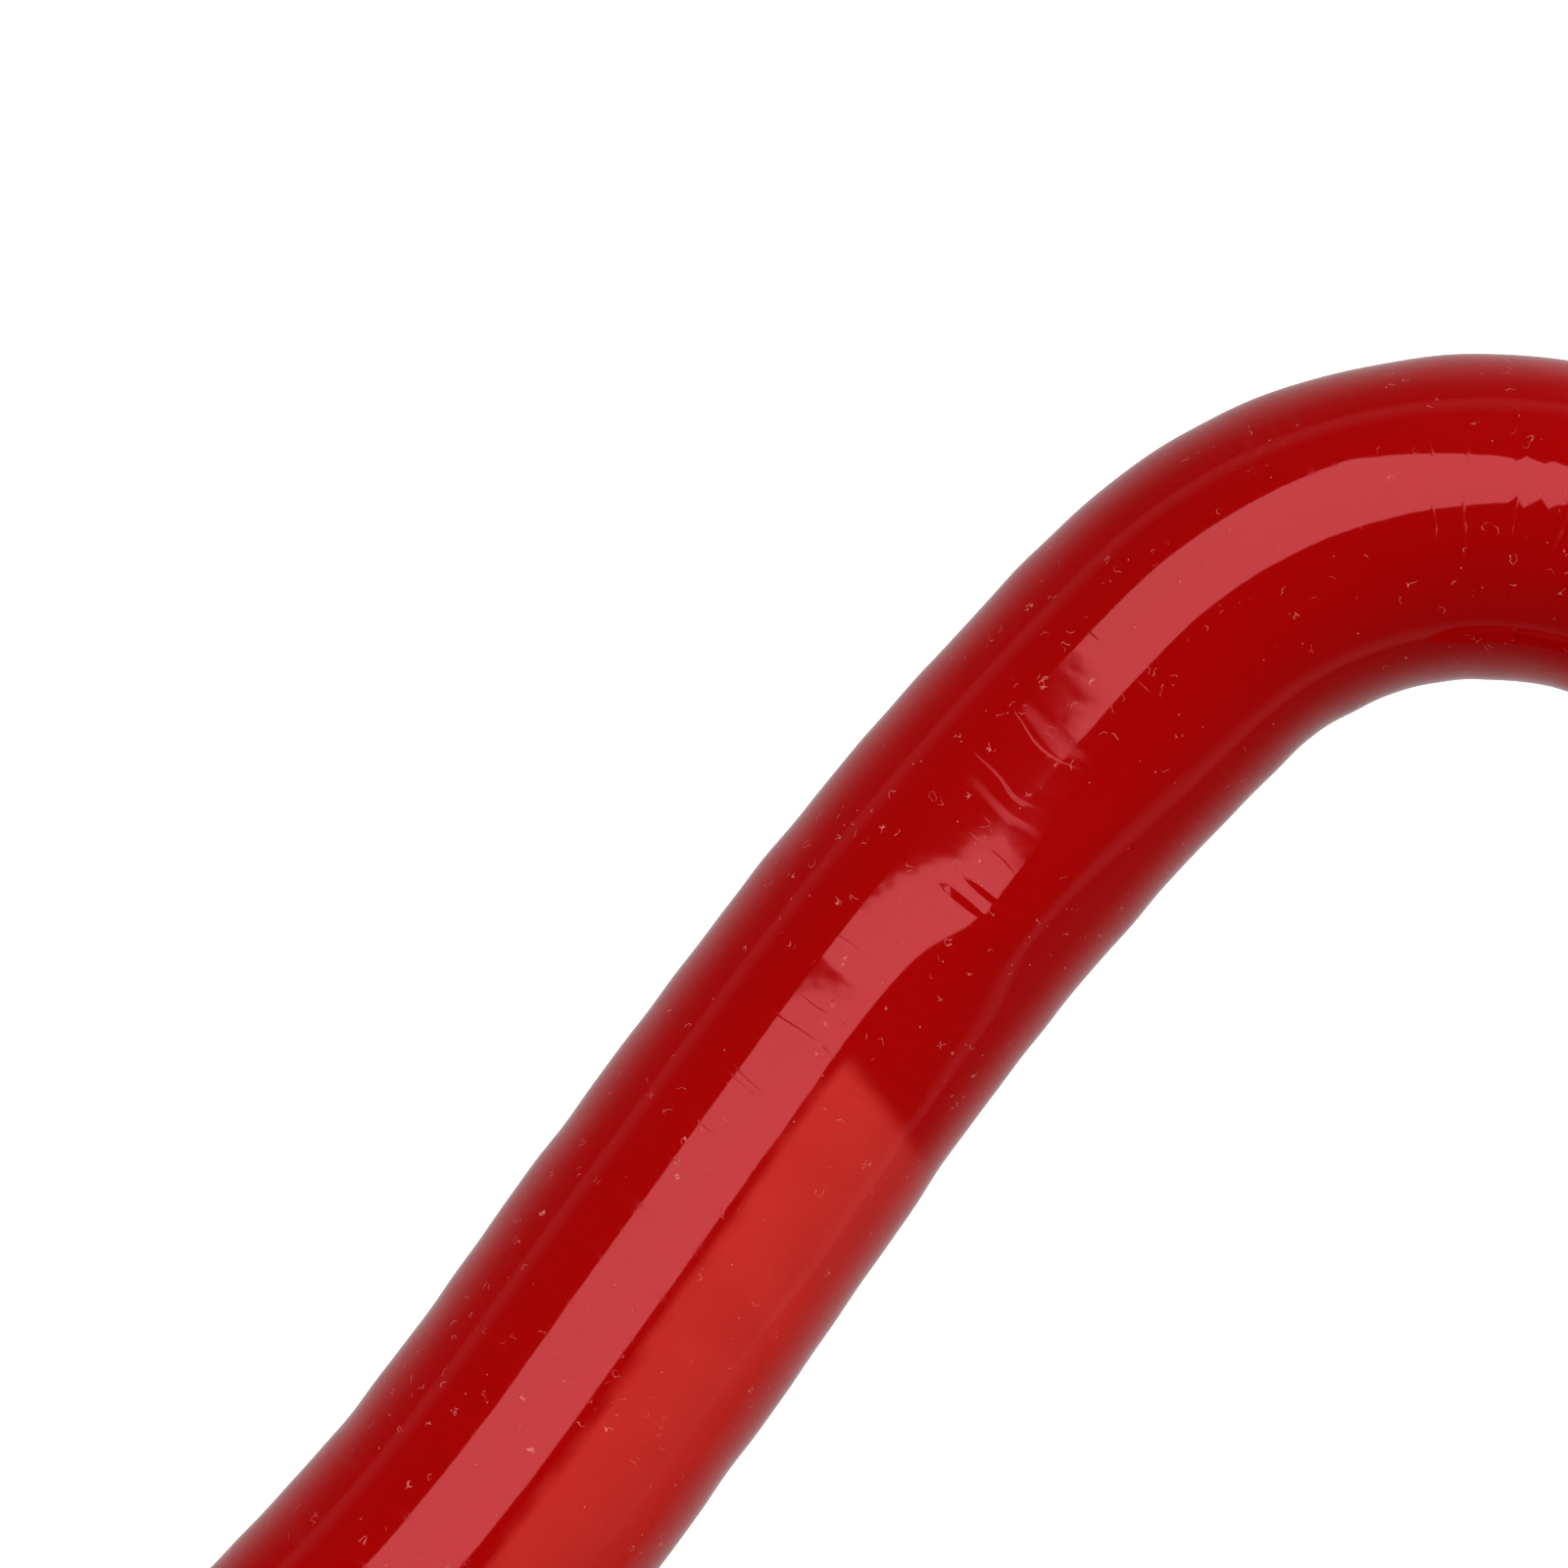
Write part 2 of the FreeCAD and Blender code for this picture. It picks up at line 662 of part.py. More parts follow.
def hook(label, bar_radius, x, mirrored):
    """One hook: a bent rod welded along the bar, a plastic sleeve over it and a cup on its tip."""
    name = "".join(word.title() for word in label.split("_"))
    turn = Rotation(Vector(0, 1, 0), 180 if mirrored else 0)
    bend_start = Placement(Vector(number(x), number(f"{bar_radius} + {ROD_R}"), number(BAR_Z)), turn)
    foot_start = bend_start * Placement(Vector(-number("hook_foot_length"), 0, 0), Rotation())
    foot_arc = ("hook_foot_radius", "hook_foot_angle")

    rod_end = ("hook_tip_length - tip_cap_wall",)
    bent = swept(f"{name}Rod", [("hook_foot_length",), foot_arc] + HOOK_BEND + [rod_end], [ROD_R])
    bent.Placement = foot_start
    subpart(bent, f"{label}_rod")

    sleeve_start = after(("hook_foot_radius", "sleeve_start_angle"), bend_start)
    bare_arc = ("hook_foot_radius", "hook_foot_angle - sleeve_start_angle")
    sleeve_moves = [bare_arc] + HOOK_BEND + [("hook_tip_length - tip_cap_length",)]
    sleeve = swept(f"{name}Sleeve", sleeve_moves, [SLEEVE_R, ROD_R])
    sleeve.Placement = sleeve_start
    subpart(sleeve, f"{label}_sleeve")

    tip = sleeve_start
    for move in sleeve_moves:
        tip = after(move, tip)
    rim = f"({SLEEVE_R} + cap_lip)"
    cup = turned(f"{name}Cap", "XY_Plane", "H_Axis", [
        ("0", ROD_R),
        ("tip_cap_length - tip_cap_wall", ROD_R),
        ("tip_cap_length - tip_cap_wall", "0"),
        ("tip_cap_length", "0"),
        ("tip_cap_length", f"{rim} - 2 * tip_cap_wall"),
        ("tip_cap_length - tip_cap_wall / 2", f"{rim} - tip_cap_wall"),
        ("tip_cap_length - 2 * tip_cap_wall", rim),
        ("0", rim),
    ])
    cup.Placement = tip
    subpart(cup, f"{label}_tip_cap")

    if mirrored:
        span = (f"{x} + bead_setback", f"{x} + hook_foot_length - bead_setback")
    else:
        span = (f"{x} - hook_foot_length + bead_setback", f"{x} - bead_setback")
    weld_beads(f"{name}Weld", bar_radius, label, span)


# ---------------------------------------------------------------- lock block and head shells

def rounded_block(name, grow, corner, z):
    """The head's plan shape, grown outwards and with round upright corners, between two heights."""
    body = new_body(name)
    sketch = sketch_on(body, "XY_Plane")
    rear = f"-block_rear - {grow}"
    front = f"block_front + {grow}"
    near = f"-block_lock_side - {grow}"
    far = f"{BLOCK_BACK} + {grow}"
    draw_outline(sketch, [(rear, near), (front, near), (front, far), (rear, far)])
    pad = body.newObject("PartDesign::Pad", f"{name}_pad")
    pad.Profile = sketch
    pad.setExpression("Length", bound(f"({z[1]}) - ({z[0]})"))
    round_edges(body, corner, lambda edge: runs_along(edge, Vector(0, 0, 1)))
    return place(body, z=z[0])


def lock_block():
    """The casting: bores for the tube, shaft, bush, bolt, key cylinder, pins and screws."""
    casting = rounded_block("Casting", "0", "shell_corner - shell_wall", ("shell_wall", BLOCK_TOP))
    bush_r = f"{SHAFT_R} + bush_wall"
    bush_rear = "block_front - bush_length"
    front = "block_front + cut_past"
    side = "-block_lock_side - cut_past"
    top = f"{BLOCK_TOP} + cut_past"
    bottom = "shell_wall - cut_past"
    bores = [
        rod("TubeBore", "X", TUBE_R, ("-block_rear - cut_past", TUBE_FRONT), z=BAR_Z),
        rod("ShaftBore", "X", f"{SHAFT_R} + loose_gap", (f"{TUBE_FRONT} - cut_past", front), z=BAR_Z),
        rod("BushBore", "X", bush_r, (bush_rear, front), z=BAR_Z),
        rod("BushRecess", "X", f"{bush_r} + bush_flange", ("block_front - bush_flange", front), z=BAR_Z),
        rod("BoltBore", "Y", "bolt_radius", (side, "0"), z=BAR_Z),
        rod("CylinderBore", "Z", "cylinder_radius", (CYLINDER_BOTTOM, top), y="-cylinder_offset"),
        rod("ClipChamber", "Z", "clip_radius + clip_room", (BAR_Z, f"{CYLINDER_BOTTOM} + cut_past"),
            y="-cylinder_offset"),
        rod("SetScrewHole", "Y", "set_screw_radius", (side, "-cylinder_offset"), z=SET_SCREW_Z),
    ]
    for index, y in enumerate((TUBE_R, minus(TUBE_R))):
        span = (bottom, f"{BAR_Z} + tube_pin_length / 2")
        bores.append(rod(f"PinHole{index}", "Z", "tube_pin_radius", span, x="-tube_pin_setback", y=y))
    for corner, (x, y) in enumerate(SCREW_SPOTS):
        recess = (f"{BLOCK_TOP} - boss_length - loose_gap", top)
        bores.append(rod(f"ScrewHole{corner}", "Z", "screw_radius + loose_gap", (bottom, top), x=x, y=y))
        bores.append(rod(f"BossHole{corner}", "Z", "boss_radius + loose_gap", recess, x=x, y=y))
    subpart(cut("LockBlock", casting, bores), "lock_block")


def shaft_bush():
    """The bronze bearing that the shaft slides in at the block's mouth."""
    inner = f"{SHAFT_R} + running_gap"
    outer = f"{SHAFT_R} + bush_wall"
    flange = "block_front - bush_flange"
    outline = [
        ("block_front - bush_length", inner),
        ("block_front", inner),
        ("block_front", f"{outer} + bush_flange"),
        (flange, f"{outer} + bush_flange"),
        (flange, outer),
        ("block_front - bush_length", outer),
    ]
    subpart(turned_on_bar("ShaftBush", outline), "shaft_bush")


def tube_pins():
    """Two split spring pins that cross the edge of the tube and lock it into the block."""
    low = f"{BAR_Z} - tube_pin_length / 2"
    high = f"{BAR_Z} + tube_pin_length / 2"
    through = (f"{low} - cut_past", f"{high} + cut_past")
    pins = []
    for side, y in enumerate((TUBE_R, minus(TUBE_R))):
        spot = {"x": "-tube_pin_setback", "y": y}
        outside = rod(f"PinOutside{side}", "Z", "tube_pin_radius", (low, high), **spot)
        inside = rod(f"PinInside{side}", "Z", "tube_pin_hollow", through, **spot)
        slit_x = ("-tube_pin_setback - tube_pin_radius - cut_past", "-tube_pin_setback")
        slit_y = (f"{y} - tube_pin_half_slit", f"{y} + tube_pin_half_slit")
        slit = box(f"PinSlit{side}", slit_x, slit_y, through)
        pins.append(cut(f"Pin{side}", outside, [inside, slit]))
    subpart(group("TubePins", pins), "tube_pins")


def head_shells():
    """Two moulded shells, split at the bar's axis, with fluted sides and a collar at each end."""
    outer = rounded_block("HeadOutside", "shell_wall", "shell_corner", ("0", HEAD_TOP))
    round_edges(outer, "shell_edge", lambda edge: edge.BoundBox.ZLength < 0.01)
    rear_collar = rod("RearCollar", "X", f"{TUBE_R} + collar_wall", (HEAD_REAR, "-block_rear"), z=BAR_Z)
    front_collar = rod("FrontCollar", "X", f"{SHAFT_R} + loose_gap * 2 + collar_wall",
                       ("block_front", HEAD_FRONT), z=BAR_Z)
    box_whole = joined("HeadWhole", [outer, rear_collar, front_collar])
    hollow = rounded_block("HeadHollow", "0", "shell_corner - shell_wall", ("shell_wall", BLOCK_TOP))
    hollows = [
        hollow,
        rod("TubeHole", "X", TUBE_R, (f"{HEAD_REAR} - cut_past", "-block_rear + cut_past"), z=BAR_Z),
        rod("ShaftHole", "X", f"{SHAFT_R} + loose_gap * 2",
            ("block_front - cut_past", f"{HEAD_FRONT} + cut_past"), z=BAR_Z),
    ]
    parting_z = (f"{BAR_Z} - parting_half_width", f"{BAR_Z} + parting_half_width")
    beyond = rounded_block("PartingOutside", "shell_wall + cut_past", "shell_corner + cut_past", parting_z)
    within = rounded_block("PartingInside", "shell_wall - parting_depth", "shell_corner - parting_depth", parting_z)
    marks = [cut("PartingGroove", beyond, [within])]
    flute_z = ("flute_end_gap", f"{HEAD_TOP} - flute_end_gap")
    lock_side = "-block_lock_side - shell_wall - flute_radius + flute_depth"
    hook_side = f"{BLOCK_BACK} + shell_wall + flute_radius - flute_depth"
    flute_count = int(number("flute_count"))
    for index in range(flute_count):
        x = f"(block_front - block_rear) / 2 + ({index} - (flute_count - 1) / 2) * flute_pitch"
        marks.append(rod(f"LockSideFlute{index}", "Z", "flute_radius", flute_z, x=x, y=lock_side))
        marks.append(rod(f"HookSideFlute{index}", "Z", "flute_radius", flute_z, x=x, y=hook_side))
    x_all = (f"{HEAD_REAR} - cut_past", f"{HEAD_FRONT} + cut_past")
    y_all = ("-block_lock_side - shell_wall - cut_past", f"{BLOCK_BACK} + shell_wall + cut_past")
    whole = cut("HeadMarked", box_whole, marks)
    above = box("AboveSplit", x_all, y_all, (BAR_Z, f"{HEAD_TOP} + cut_past"))
    below = box("BelowSplit", x_all, y_all, ("-cut_past", BAR_Z))
    counterbore = "screw_head_height + loose_gap"
    floor_holes = []
    bosses = []
    threads = []
    for corner, (x, y) in enumerate(SCREW_SPOTS):
        spot = {"x": x, "y": y}
        floor_holes.append(rod(f"FloorHole{corner}", "Z", "screw_radius",
                               ("-cut_past", "shell_wall + cut_past"), **spot))
        floor_holes.append(rod(f"Counterbore{corner}", "Z", "screw_head_radius + loose_gap",
                               ("-cut_past", counterbore), **spot))
        bosses.append(rod(f"Boss{corner}", "Z", "boss_radius",
                          (f"{BLOCK_TOP} - boss_length", f"{BLOCK_TOP} + cut_past"), **spot))
        threads.append(rod(f"Thread{corner}", "Z", "screw_radius",
                           (f"{BLOCK_TOP} - boss_length - cut_past", f"{BLOCK_TOP} + loose_gap"), **spot))
    subpart(cut("HeadShellLower", whole, hollows + [above] + floor_holes), "head_shell_lower")
    upper = cut("UpperHollow", whole, hollows + [below])
    cylinder_hole = rod("CylinderHole", "Z", "cylinder_radius",
                        (f"{BLOCK_TOP} - cut_past", f"{HEAD_TOP} + cut_past"), y="-cylinder_offset")
    bossed = joined("UpperBossed", [upper] + bosses)
    subpart(cut("HeadShellUpper", bossed, [cylinder_hole] + threads), "head_shell_upper")


def shell_screws():
    """Four screws from below, through the casting, into the upper shell's bosses."""
    screws = []
    seat = "screw_head_height + loose_gap"
    for corner, (x, y) in enumerate(SCREW_SPOTS):
        spot = {"x": x, "y": y}
        shank = rod(f"Shank{corner}", "Z", "screw_radius", ("loose_gap", BLOCK_TOP), **spot)
        head = rod(f"ScrewHead{corner}", "Z", "screw_head_radius", ("loose_gap", seat), **spot)
        socket = hex_socket(f"ScrewSocket{corner}", "Z", ("0", "socket_depth"), **spot)
        solid = joined(f"ScrewSolid{corner}", [shank, head])
        screws.append(cut(f"Screw{corner}", solid, [socket]))
    subpart(group("ShellScrews", screws), "shell_screws")


# ---------------------------------------------------------------- locking bolt

def lock_bolt():
    """The bolt: a wedge tip that fits a notch, a cross slot for the drive pin, a spring pocket."""
    radius = "(bolt_radius - running_gap)"
    tip_half = "(notch_half_width - bolt_tip_gap)"
    step = f"({BOLT_TIP} - notch_depth - bolt_tip_gap)"
    beyond = f"({BOLT_TIP} + cut_past)"
    bolt = place(turned("BoltBody", "XY_Plane", "V_Axis", [
        ("0", SPRING_SEAT),
        ("spring_pocket_radius", SPRING_SEAT),
        ("spring_pocket_radius", BOLT_BACK),
        (radius, BOLT_BACK),
        (radius, BOLT_TIP),
        ("0", BOLT_TIP),
    ]), z=BAR_Z)
    relief = sketch_on(bolt, "XY_Plane")
    draw_outline(relief, [
        (tip_half, beyond),
        (tip_half, step),
        ("bolt_radius + cut_past", step),
        ("bolt_radius + cut_past", beyond),
    ])
    draw_outline(relief, [
        (minus(tip_half), beyond),
        (minus(tip_half), BOLT_TIP),
        (f"-{tip_half} - notch_ramp", step),
        ("-bolt_radius - cut_past", step),
        ("-bolt_radius - cut_past", beyond),
    ])
    pocket = bolt.newObject("PartDesign::Pocket", "TipRelief")
    pocket.Profile = relief
    pocket.Type = "ThroughAll"
    pocket.SideType = "Symmetric"
    slot_middle = f"(-cylinder_offset - {PIN_OFFSET})"
    half_slot = "(drive_pin_radius + bolt_slot_play)"
    slot = box(
        "BoltSlot",
        ("-bolt_radius - cut_past", "bolt_radius + cut_past"),
        (f"{slot_middle} - {half_slot}", f"{slot_middle} + {half_slot}"),
        (f"{BAR_Z} + bolt_radius - bolt_slot_depth", f"{BAR_Z} + bolt_radius + cut_past"),
    )
    subpart(cut("LockBolt", bolt, [slot]), "lock_bolt")


def bolt_spring():
    spring = doc.addObject("Part::Feature", "BoltSpring")
    start = f"({BORE_PLUG_FRONT} + running_gap)"
    length = f"{SPRING_SEAT} - running_gap - {start}"
    spring.Shape = coil_spring("spring_radius", "spring_wire", length, "spring_turns")
    spring.Placement = Placement(Vector(0, number(start), number(BAR_Z)), ALONG["Y"])
    subpart(spring, "bolt_spring")


def bolt_bore_plug():
    """The screw plug that closes the bolt's bore and backs its spring."""
    span = ("-block_lock_side", BORE_PLUG_FRONT)
    solid = rod("BorePlugSolid", "Y", "bolt_radius", span, z=BAR_Z)
    socket = hex_socket("BorePlugSocket", "Y", SIDE_SOCKET, z=BAR_Z)
    subpart(cut("BoltBorePlug", solid, [socket]), "bolt_bore_plug")


# ---------------------------------------------------------------- key cylinder

def wafer_heights():
    """The middle height of each wafer, from the top one down."""
    count = int(number("wafer_count"))
    return [f"({CYLINDER_TOP} - wafer_top_drop - {index} * wafer_pitch)" for index in range(count)]


def cylinder_shell():
    """The fixed barrel, with two opposite channels for the wafers and a dimple for its set screw."""
    barrel = turned_upright("Barrel", [
        ("tail_radius", CYLINDER_BOTTOM),
        ("cylinder_radius", CYLINDER_BOTTOM),
        ("cylinder_radius", CYLINDER_TOP),
        ("plug_radius", CYLINDER_TOP),
        ("plug_radius", PLUG_SEAT),
        ("tail_radius", PLUG_SEAT),
    ])
    reach = "(plug_radius + wafer_channel_depth)"
    y_span = (f"-cylinder_offset - {reach}", f"-cylinder_offset + {reach}")
    z_span = (PLUG_SEAT, f"{CYLINDER_TOP} - wafer_top_drop + wafer_pitch / 2")
    half = "wafer_half_width + wafer_channel_gap"
    channel = box("WaferChannel", (minus(half), half), y_span, z_span)
    dimple = rod("Dimple", "Y", "set_screw_radius", ("-block_lock_side", SET_SCREW_END), z=SET_SCREW_Z)
    subpart(cut("CylinderShell", barrel, [channel, dimple]), "cylinder_shell")


def cylinder_set_screw():
    solid = rod("SetScrewSolid", "Y", "set_screw_radius", ("-block_lock_side", SET_SCREW_END), z=SET_SCREW_Z)
    socket = hex_socket("SetScrewSocket", "Y", SIDE_SOCKET, z=SET_SCREW_Z)
    subpart(cut("CylinderSetScrew", solid, [socket]), "cylinder_set_screw")


def cylinder_ring():
    """The bright ring round the keyhole, on top of the upper shell."""
    outer = "cylinder_radius + ring_width"
    top = f"{HEAD_TOP} + ring_height"
    bevel = "ring_height / 2"
    subpart(turned_upright("CylinderRing", [
        ("cylinder_radius", HEAD_TOP),
        (outer, HEAD_TOP),
        (outer, f"{top} - {bevel}"),
        (f"{outer} - {bevel}", top),
        ("cylinder_radius", top),
    ]), "cylinder_ring")


def plug():
    """The turning core: keyway, a slot and a spring pocket for each wafer, and a grooved tail."""
    body_r = "plug_radius - running_gap"
    tail_r = "tail_radius - running_gap"
    groove_top = f"{CLIP_BOTTOM} + clip_thickness + clip_play"
    groove_bottom = f"{CLIP_BOTTOM} - clip_play"
    core = turned_upright("PlugCore", [
        ("0", TAIL_BOTTOM),
        (tail_r, TAIL_BOTTOM),
        (tail_r, groove_bottom),
        ("tail_groove_radius", groove_bottom),
        ("tail_groove_radius", groove_top),
        (tail_r, groove_top),
        (tail_r, f"{PLUG_SEAT} + running_gap"),
        (body_r, f"{PLUG_SEAT} + running_gap"),
        (body_r, CYLINDER_TOP),
        ("0", CYLINDER_TOP),
    ])
    half_thick = "key_half_thickness + loose_gap"
    half_width = "(key_half_width + loose_gap)"
    tools = [
        box("Keyway",
            (minus(half_thick), half_thick),
            (f"-cylinder_offset - {half_width}", f"-cylinder_offset + {half_width}"),
            (f"{KEY_BOTTOM} - loose_gap * 2", f"{CYLINDER_TOP} + cut_past")),
        rod("DrivePinHole", "Z", "drive_pin_radius", (f"{TAIL_BOTTOM} - cut_past", DRIVE_PIN_TOP),
            x=PIN_OFFSET, y=f"-cylinder_offset - {PIN_OFFSET}"),
    ]
    half = "(wafer_thickness / 2 + running_gap)"
    wide = "(wafer_half_width + running_gap)"
    across = ("-cylinder_offset - plug_radius - cut_past", "-cylinder_offset + plug_radius + cut_past")
    pocket_r = "wafer_spring_radius + wafer_spring_wire + running_gap"
    pocket_span = (WAFER_SPRING_START, f"{WAFER_SPRING_START} + wafer_spring_pocket")
    for index, height in enumerate(wafer_heights()):
        tools.append(box(f"WaferSlot{index}", (minus(wide), wide), across,
                         (f"{height} - {half}", f"{height} + {half}")))
        tools.append(rod(f"SpringPocket{index}", "Y", pocket_r, pocket_span,
                         x="wafer_spring_offset", z=height))
    subpart(cut("Plug", core, tools), "plug")


def wafers():
    """Flat tumblers with a window for the key, drawn in by it."""
    pieces = []
    window_half = "(key_half_width + wafer_channel_gap)"
    for index, height in enumerate(wafer_heights()):
        span = (f"{height} - wafer_thickness / 2", f"{height} + wafer_thickness / 2")
        disc = rod(f"WaferDisc{index}", "Z", "plug_radius - loose_gap", span, y="-cylinder_offset")
        strip = box(f"WaferStrip{index}", ("-wafer_half_width", "wafer_half_width"),
                    ("-cylinder_offset - plug_radius", "-cylinder_offset + plug_radius"), span)
        plate = doc.addObject("Part::Common", f"WaferPlate{index}")
        plate.Base = disc
        plate.Tool = strip
        window = box(f"WaferWindow{index}",
                     ("-key_half_thickness - loose_gap", "key_half_thickness + loose_gap"),
                     (f"-cylinder_offset - {window_half}", f"-cylinder_offset + {window_half}"),
                     (f"{span[0]} - cut_past", f"{span[1]} + cut_past"))
        pieces.append(cut(f"Wafer{index}", plate, [window]))
    subpart(group("Wafers", pieces), "wafers")


def wafer_springs():
    length = "wafer_spring_pocket - 2 * wafer_spring_gap"
    single = coil_spring("wafer_spring_radius", "wafer_spring_wire", length, "wafer_spring_turns")
    low = number(f"{WAFER_SPRING_START} + wafer_spring_gap")
    coils = []
    for height in wafer_heights():
        start = Vector(number("wafer_spring_offset"), low, number(height))
        coils.append(single.transformed(Placement(start, ALONG["Y"]).toMatrix(), True))
    springs = doc.addObject("Part::Feature", "WaferSprings")
    springs.Shape = Part.makeCompound(coils)
    springs.Placement = Placement()
    subpart(springs, "wafer_springs")


def drive_pin():
    """The eccentric pin under the plug that works the bolt."""
    bottom = f"{BAR_Z} + bolt_radius - bolt_slot_depth + drive_pin_lift"
    pin = rod("DrivePin", "Z", "drive_pin_radius", (bottom, DRIVE_PIN_TOP),
              x=PIN_OFFSET, y=f"-cylinder_offset - {PIN_OFFSET}")
    subpart(pin, "drive_pin")


def retaining_clip():
    """The open spring clip in the tail's groove that keeps the plug in the barrel."""
    span = (CLIP_BOTTOM, f"{CLIP_BOTTOM} + clip_thickness")
    taller = (f"{span[0]} - cut_past", f"{span[1]} + cut_past")
    disc = rod("ClipDisc", "Z", "clip_radius", span, y="-cylinder_offset")
    hole = rod("ClipHole", "Z", "tail_groove_radius", taller, y="-cylinder_offset")
    mouth = box("ClipMouth", ("-clip_half_mouth", "clip_half_mouth"),
                ("-cylinder_offset - clip_radius - cut_past", "-cylinder_offset"), taller)
    subpart(cut("RetainingClip", disc, [hole, mouth]), "retaining_clip")


# ---------------------------------------------------------------- key

def key():
    """A flat double-sided blade with a shouldered tang, moulded into a plastic bow."""
    shoulder = f"{CYLINDER_TOP} + key_shoulder_gap"
    tang_top = f"{shoulder} + key_tang"
    notch_depths = (0.6, 1.3, 0.9, 1.5, 0.7)
    edge = []
    for index, height in enumerate(wafer_heights()):
        depth = notch_depths[index % len(notch_depths)]
        edge.append(("key_half_width", f"{height} + key_notch_half"))
        edge.append((f"key_half_width - {depth}", height))
        edge.append(("key_half_width", f"{height} - key_notch_half"))
    right = [("key_shoulder", tang_top), ("key_shoulder", shoulder), ("key_half_width", shoulder)]
    right += edge + [("key_half_width - key_tip_taper", KEY_BOTTOM)]
    left = [(minus(y), z) for y, z in reversed(right)]
    blade = padded("KeyBlade", "YZ_Plane", "2 * key_half_thickness", right + left)
    place(blade, y="-cylinder_offset")
    subpart(blade, "key_blade")

    low = f"({CYLINDER_TOP} + bow_stand)"
    high = f"({low} + bow_height)"
    handle = padded("BowBody", "YZ_Plane", "2 * bow_half_thickness", [
        ("bow_waist", low),
        ("bow_half_width", f"{low} + bow_flare"),
        ("bow_half_width", high),
        ("-bow_half_width", high),
        ("-bow_half_width", f"{low} + bow_flare"),
        ("-bow_waist", low),
    ])
    round_edges(handle, "bow_corner", lambda edge: runs_along(edge, Vector(1, 0, 0)))
    place(handle, y="-cylinder_offset")
    through = ("-bow_half_thickness - cut_past", "bow_half_thickness + cut_past")
    ring_hole = rod("BowHole", "X", "bow_hole_radius", through, y="-cylinder_offset",
                    z=f"{high} - bow_hole_drop")
    subpart(cut("KeyBow", handle, [ring_hole, blade]), "key_bow")


# ---------------------------------------------------------------- build, check and write

body_tube()
tube_end_plug()
grip()
grip_end_cap()
shaft()
guide_ring()
guide_screw()
prong_sleeve()
prong_cap()
hook("shaft_hook", SHAFT_R, SHAFT_HOOK_X, mirrored=False)
hook("body_hook", TUBE_R, BODY_HOOK_X, mirrored=True)
lock_block()
shaft_bush()
tube_pins()
head_shells()
shell_screws()
lock_bolt()
bolt_spring()
bolt_bore_plug()
cylinder_shell()
cylinder_set_screw()
cylinder_ring()
plug()
wafers()
wafer_springs()
drive_pin()
retaining_clip()
key()
doc.recompute()

for thing in doc.Objects:
    if {"Invalid", "Error"} & set(thing.State):
        raise RuntimeError(f"{thing.Label} did not compute: {thing.State}")
for piece in subparts:
    if piece.Shape.isNull() or not piece.Shape.isValid():
        raise RuntimeError(f"{piece.Label} has no valid shape")

os.makedirs("parts", exist_ok=True)
for piece in subparts:
    piece.Shape.exportStep(f"parts/{piece.Label}.step")
print(f"{len(subparts)} sub-parts written")
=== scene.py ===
"""A bar-type steering wheel lock on a pale studio table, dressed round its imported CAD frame.

Metres, in the frame's own axes: the bar runs along X, the hooks stand towards +Y, Z is up.
"""
import math

import bmesh
import bpy
import numpy as np
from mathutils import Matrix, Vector


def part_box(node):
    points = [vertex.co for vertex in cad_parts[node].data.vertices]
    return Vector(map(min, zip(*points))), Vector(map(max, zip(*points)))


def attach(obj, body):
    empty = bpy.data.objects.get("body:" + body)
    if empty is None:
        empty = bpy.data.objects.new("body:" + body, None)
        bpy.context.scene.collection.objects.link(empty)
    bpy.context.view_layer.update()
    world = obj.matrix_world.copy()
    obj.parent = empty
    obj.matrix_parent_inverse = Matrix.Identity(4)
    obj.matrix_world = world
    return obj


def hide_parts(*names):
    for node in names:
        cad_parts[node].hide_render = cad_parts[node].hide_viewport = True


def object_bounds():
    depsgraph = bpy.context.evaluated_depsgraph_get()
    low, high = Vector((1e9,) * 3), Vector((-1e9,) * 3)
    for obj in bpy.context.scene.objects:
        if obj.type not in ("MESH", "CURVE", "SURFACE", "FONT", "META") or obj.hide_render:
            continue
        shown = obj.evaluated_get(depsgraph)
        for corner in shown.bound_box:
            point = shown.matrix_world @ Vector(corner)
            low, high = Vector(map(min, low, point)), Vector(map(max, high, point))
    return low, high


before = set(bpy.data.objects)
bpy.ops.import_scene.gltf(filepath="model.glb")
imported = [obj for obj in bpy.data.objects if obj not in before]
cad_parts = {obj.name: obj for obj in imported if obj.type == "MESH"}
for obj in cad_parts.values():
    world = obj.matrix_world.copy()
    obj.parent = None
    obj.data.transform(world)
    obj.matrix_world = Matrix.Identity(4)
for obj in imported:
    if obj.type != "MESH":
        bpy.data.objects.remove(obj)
cad_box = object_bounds()
MM = 0.001


# ------------------------------------------------------------------ studio
# A white acrylic table lit a little from below, with three softboxes over it and one low fill
# lamp in a dim room, so that glossy plastic shows clean bands of light between deep colour. The
# camera looks straight down.

hook_low, hook_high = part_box("shaft_hook_sleeve")
bar_height = (hook_low.z + hook_high.z) / 2
FROM_HOOK_FOOT = 22.70
BELOW_HOOK_TOP = 16.02
aim = Vector((hook_low.x + FROM_HOOK_FOOT * MM, hook_high.y - BELOW_HOOK_TOP * MM, bar_height))


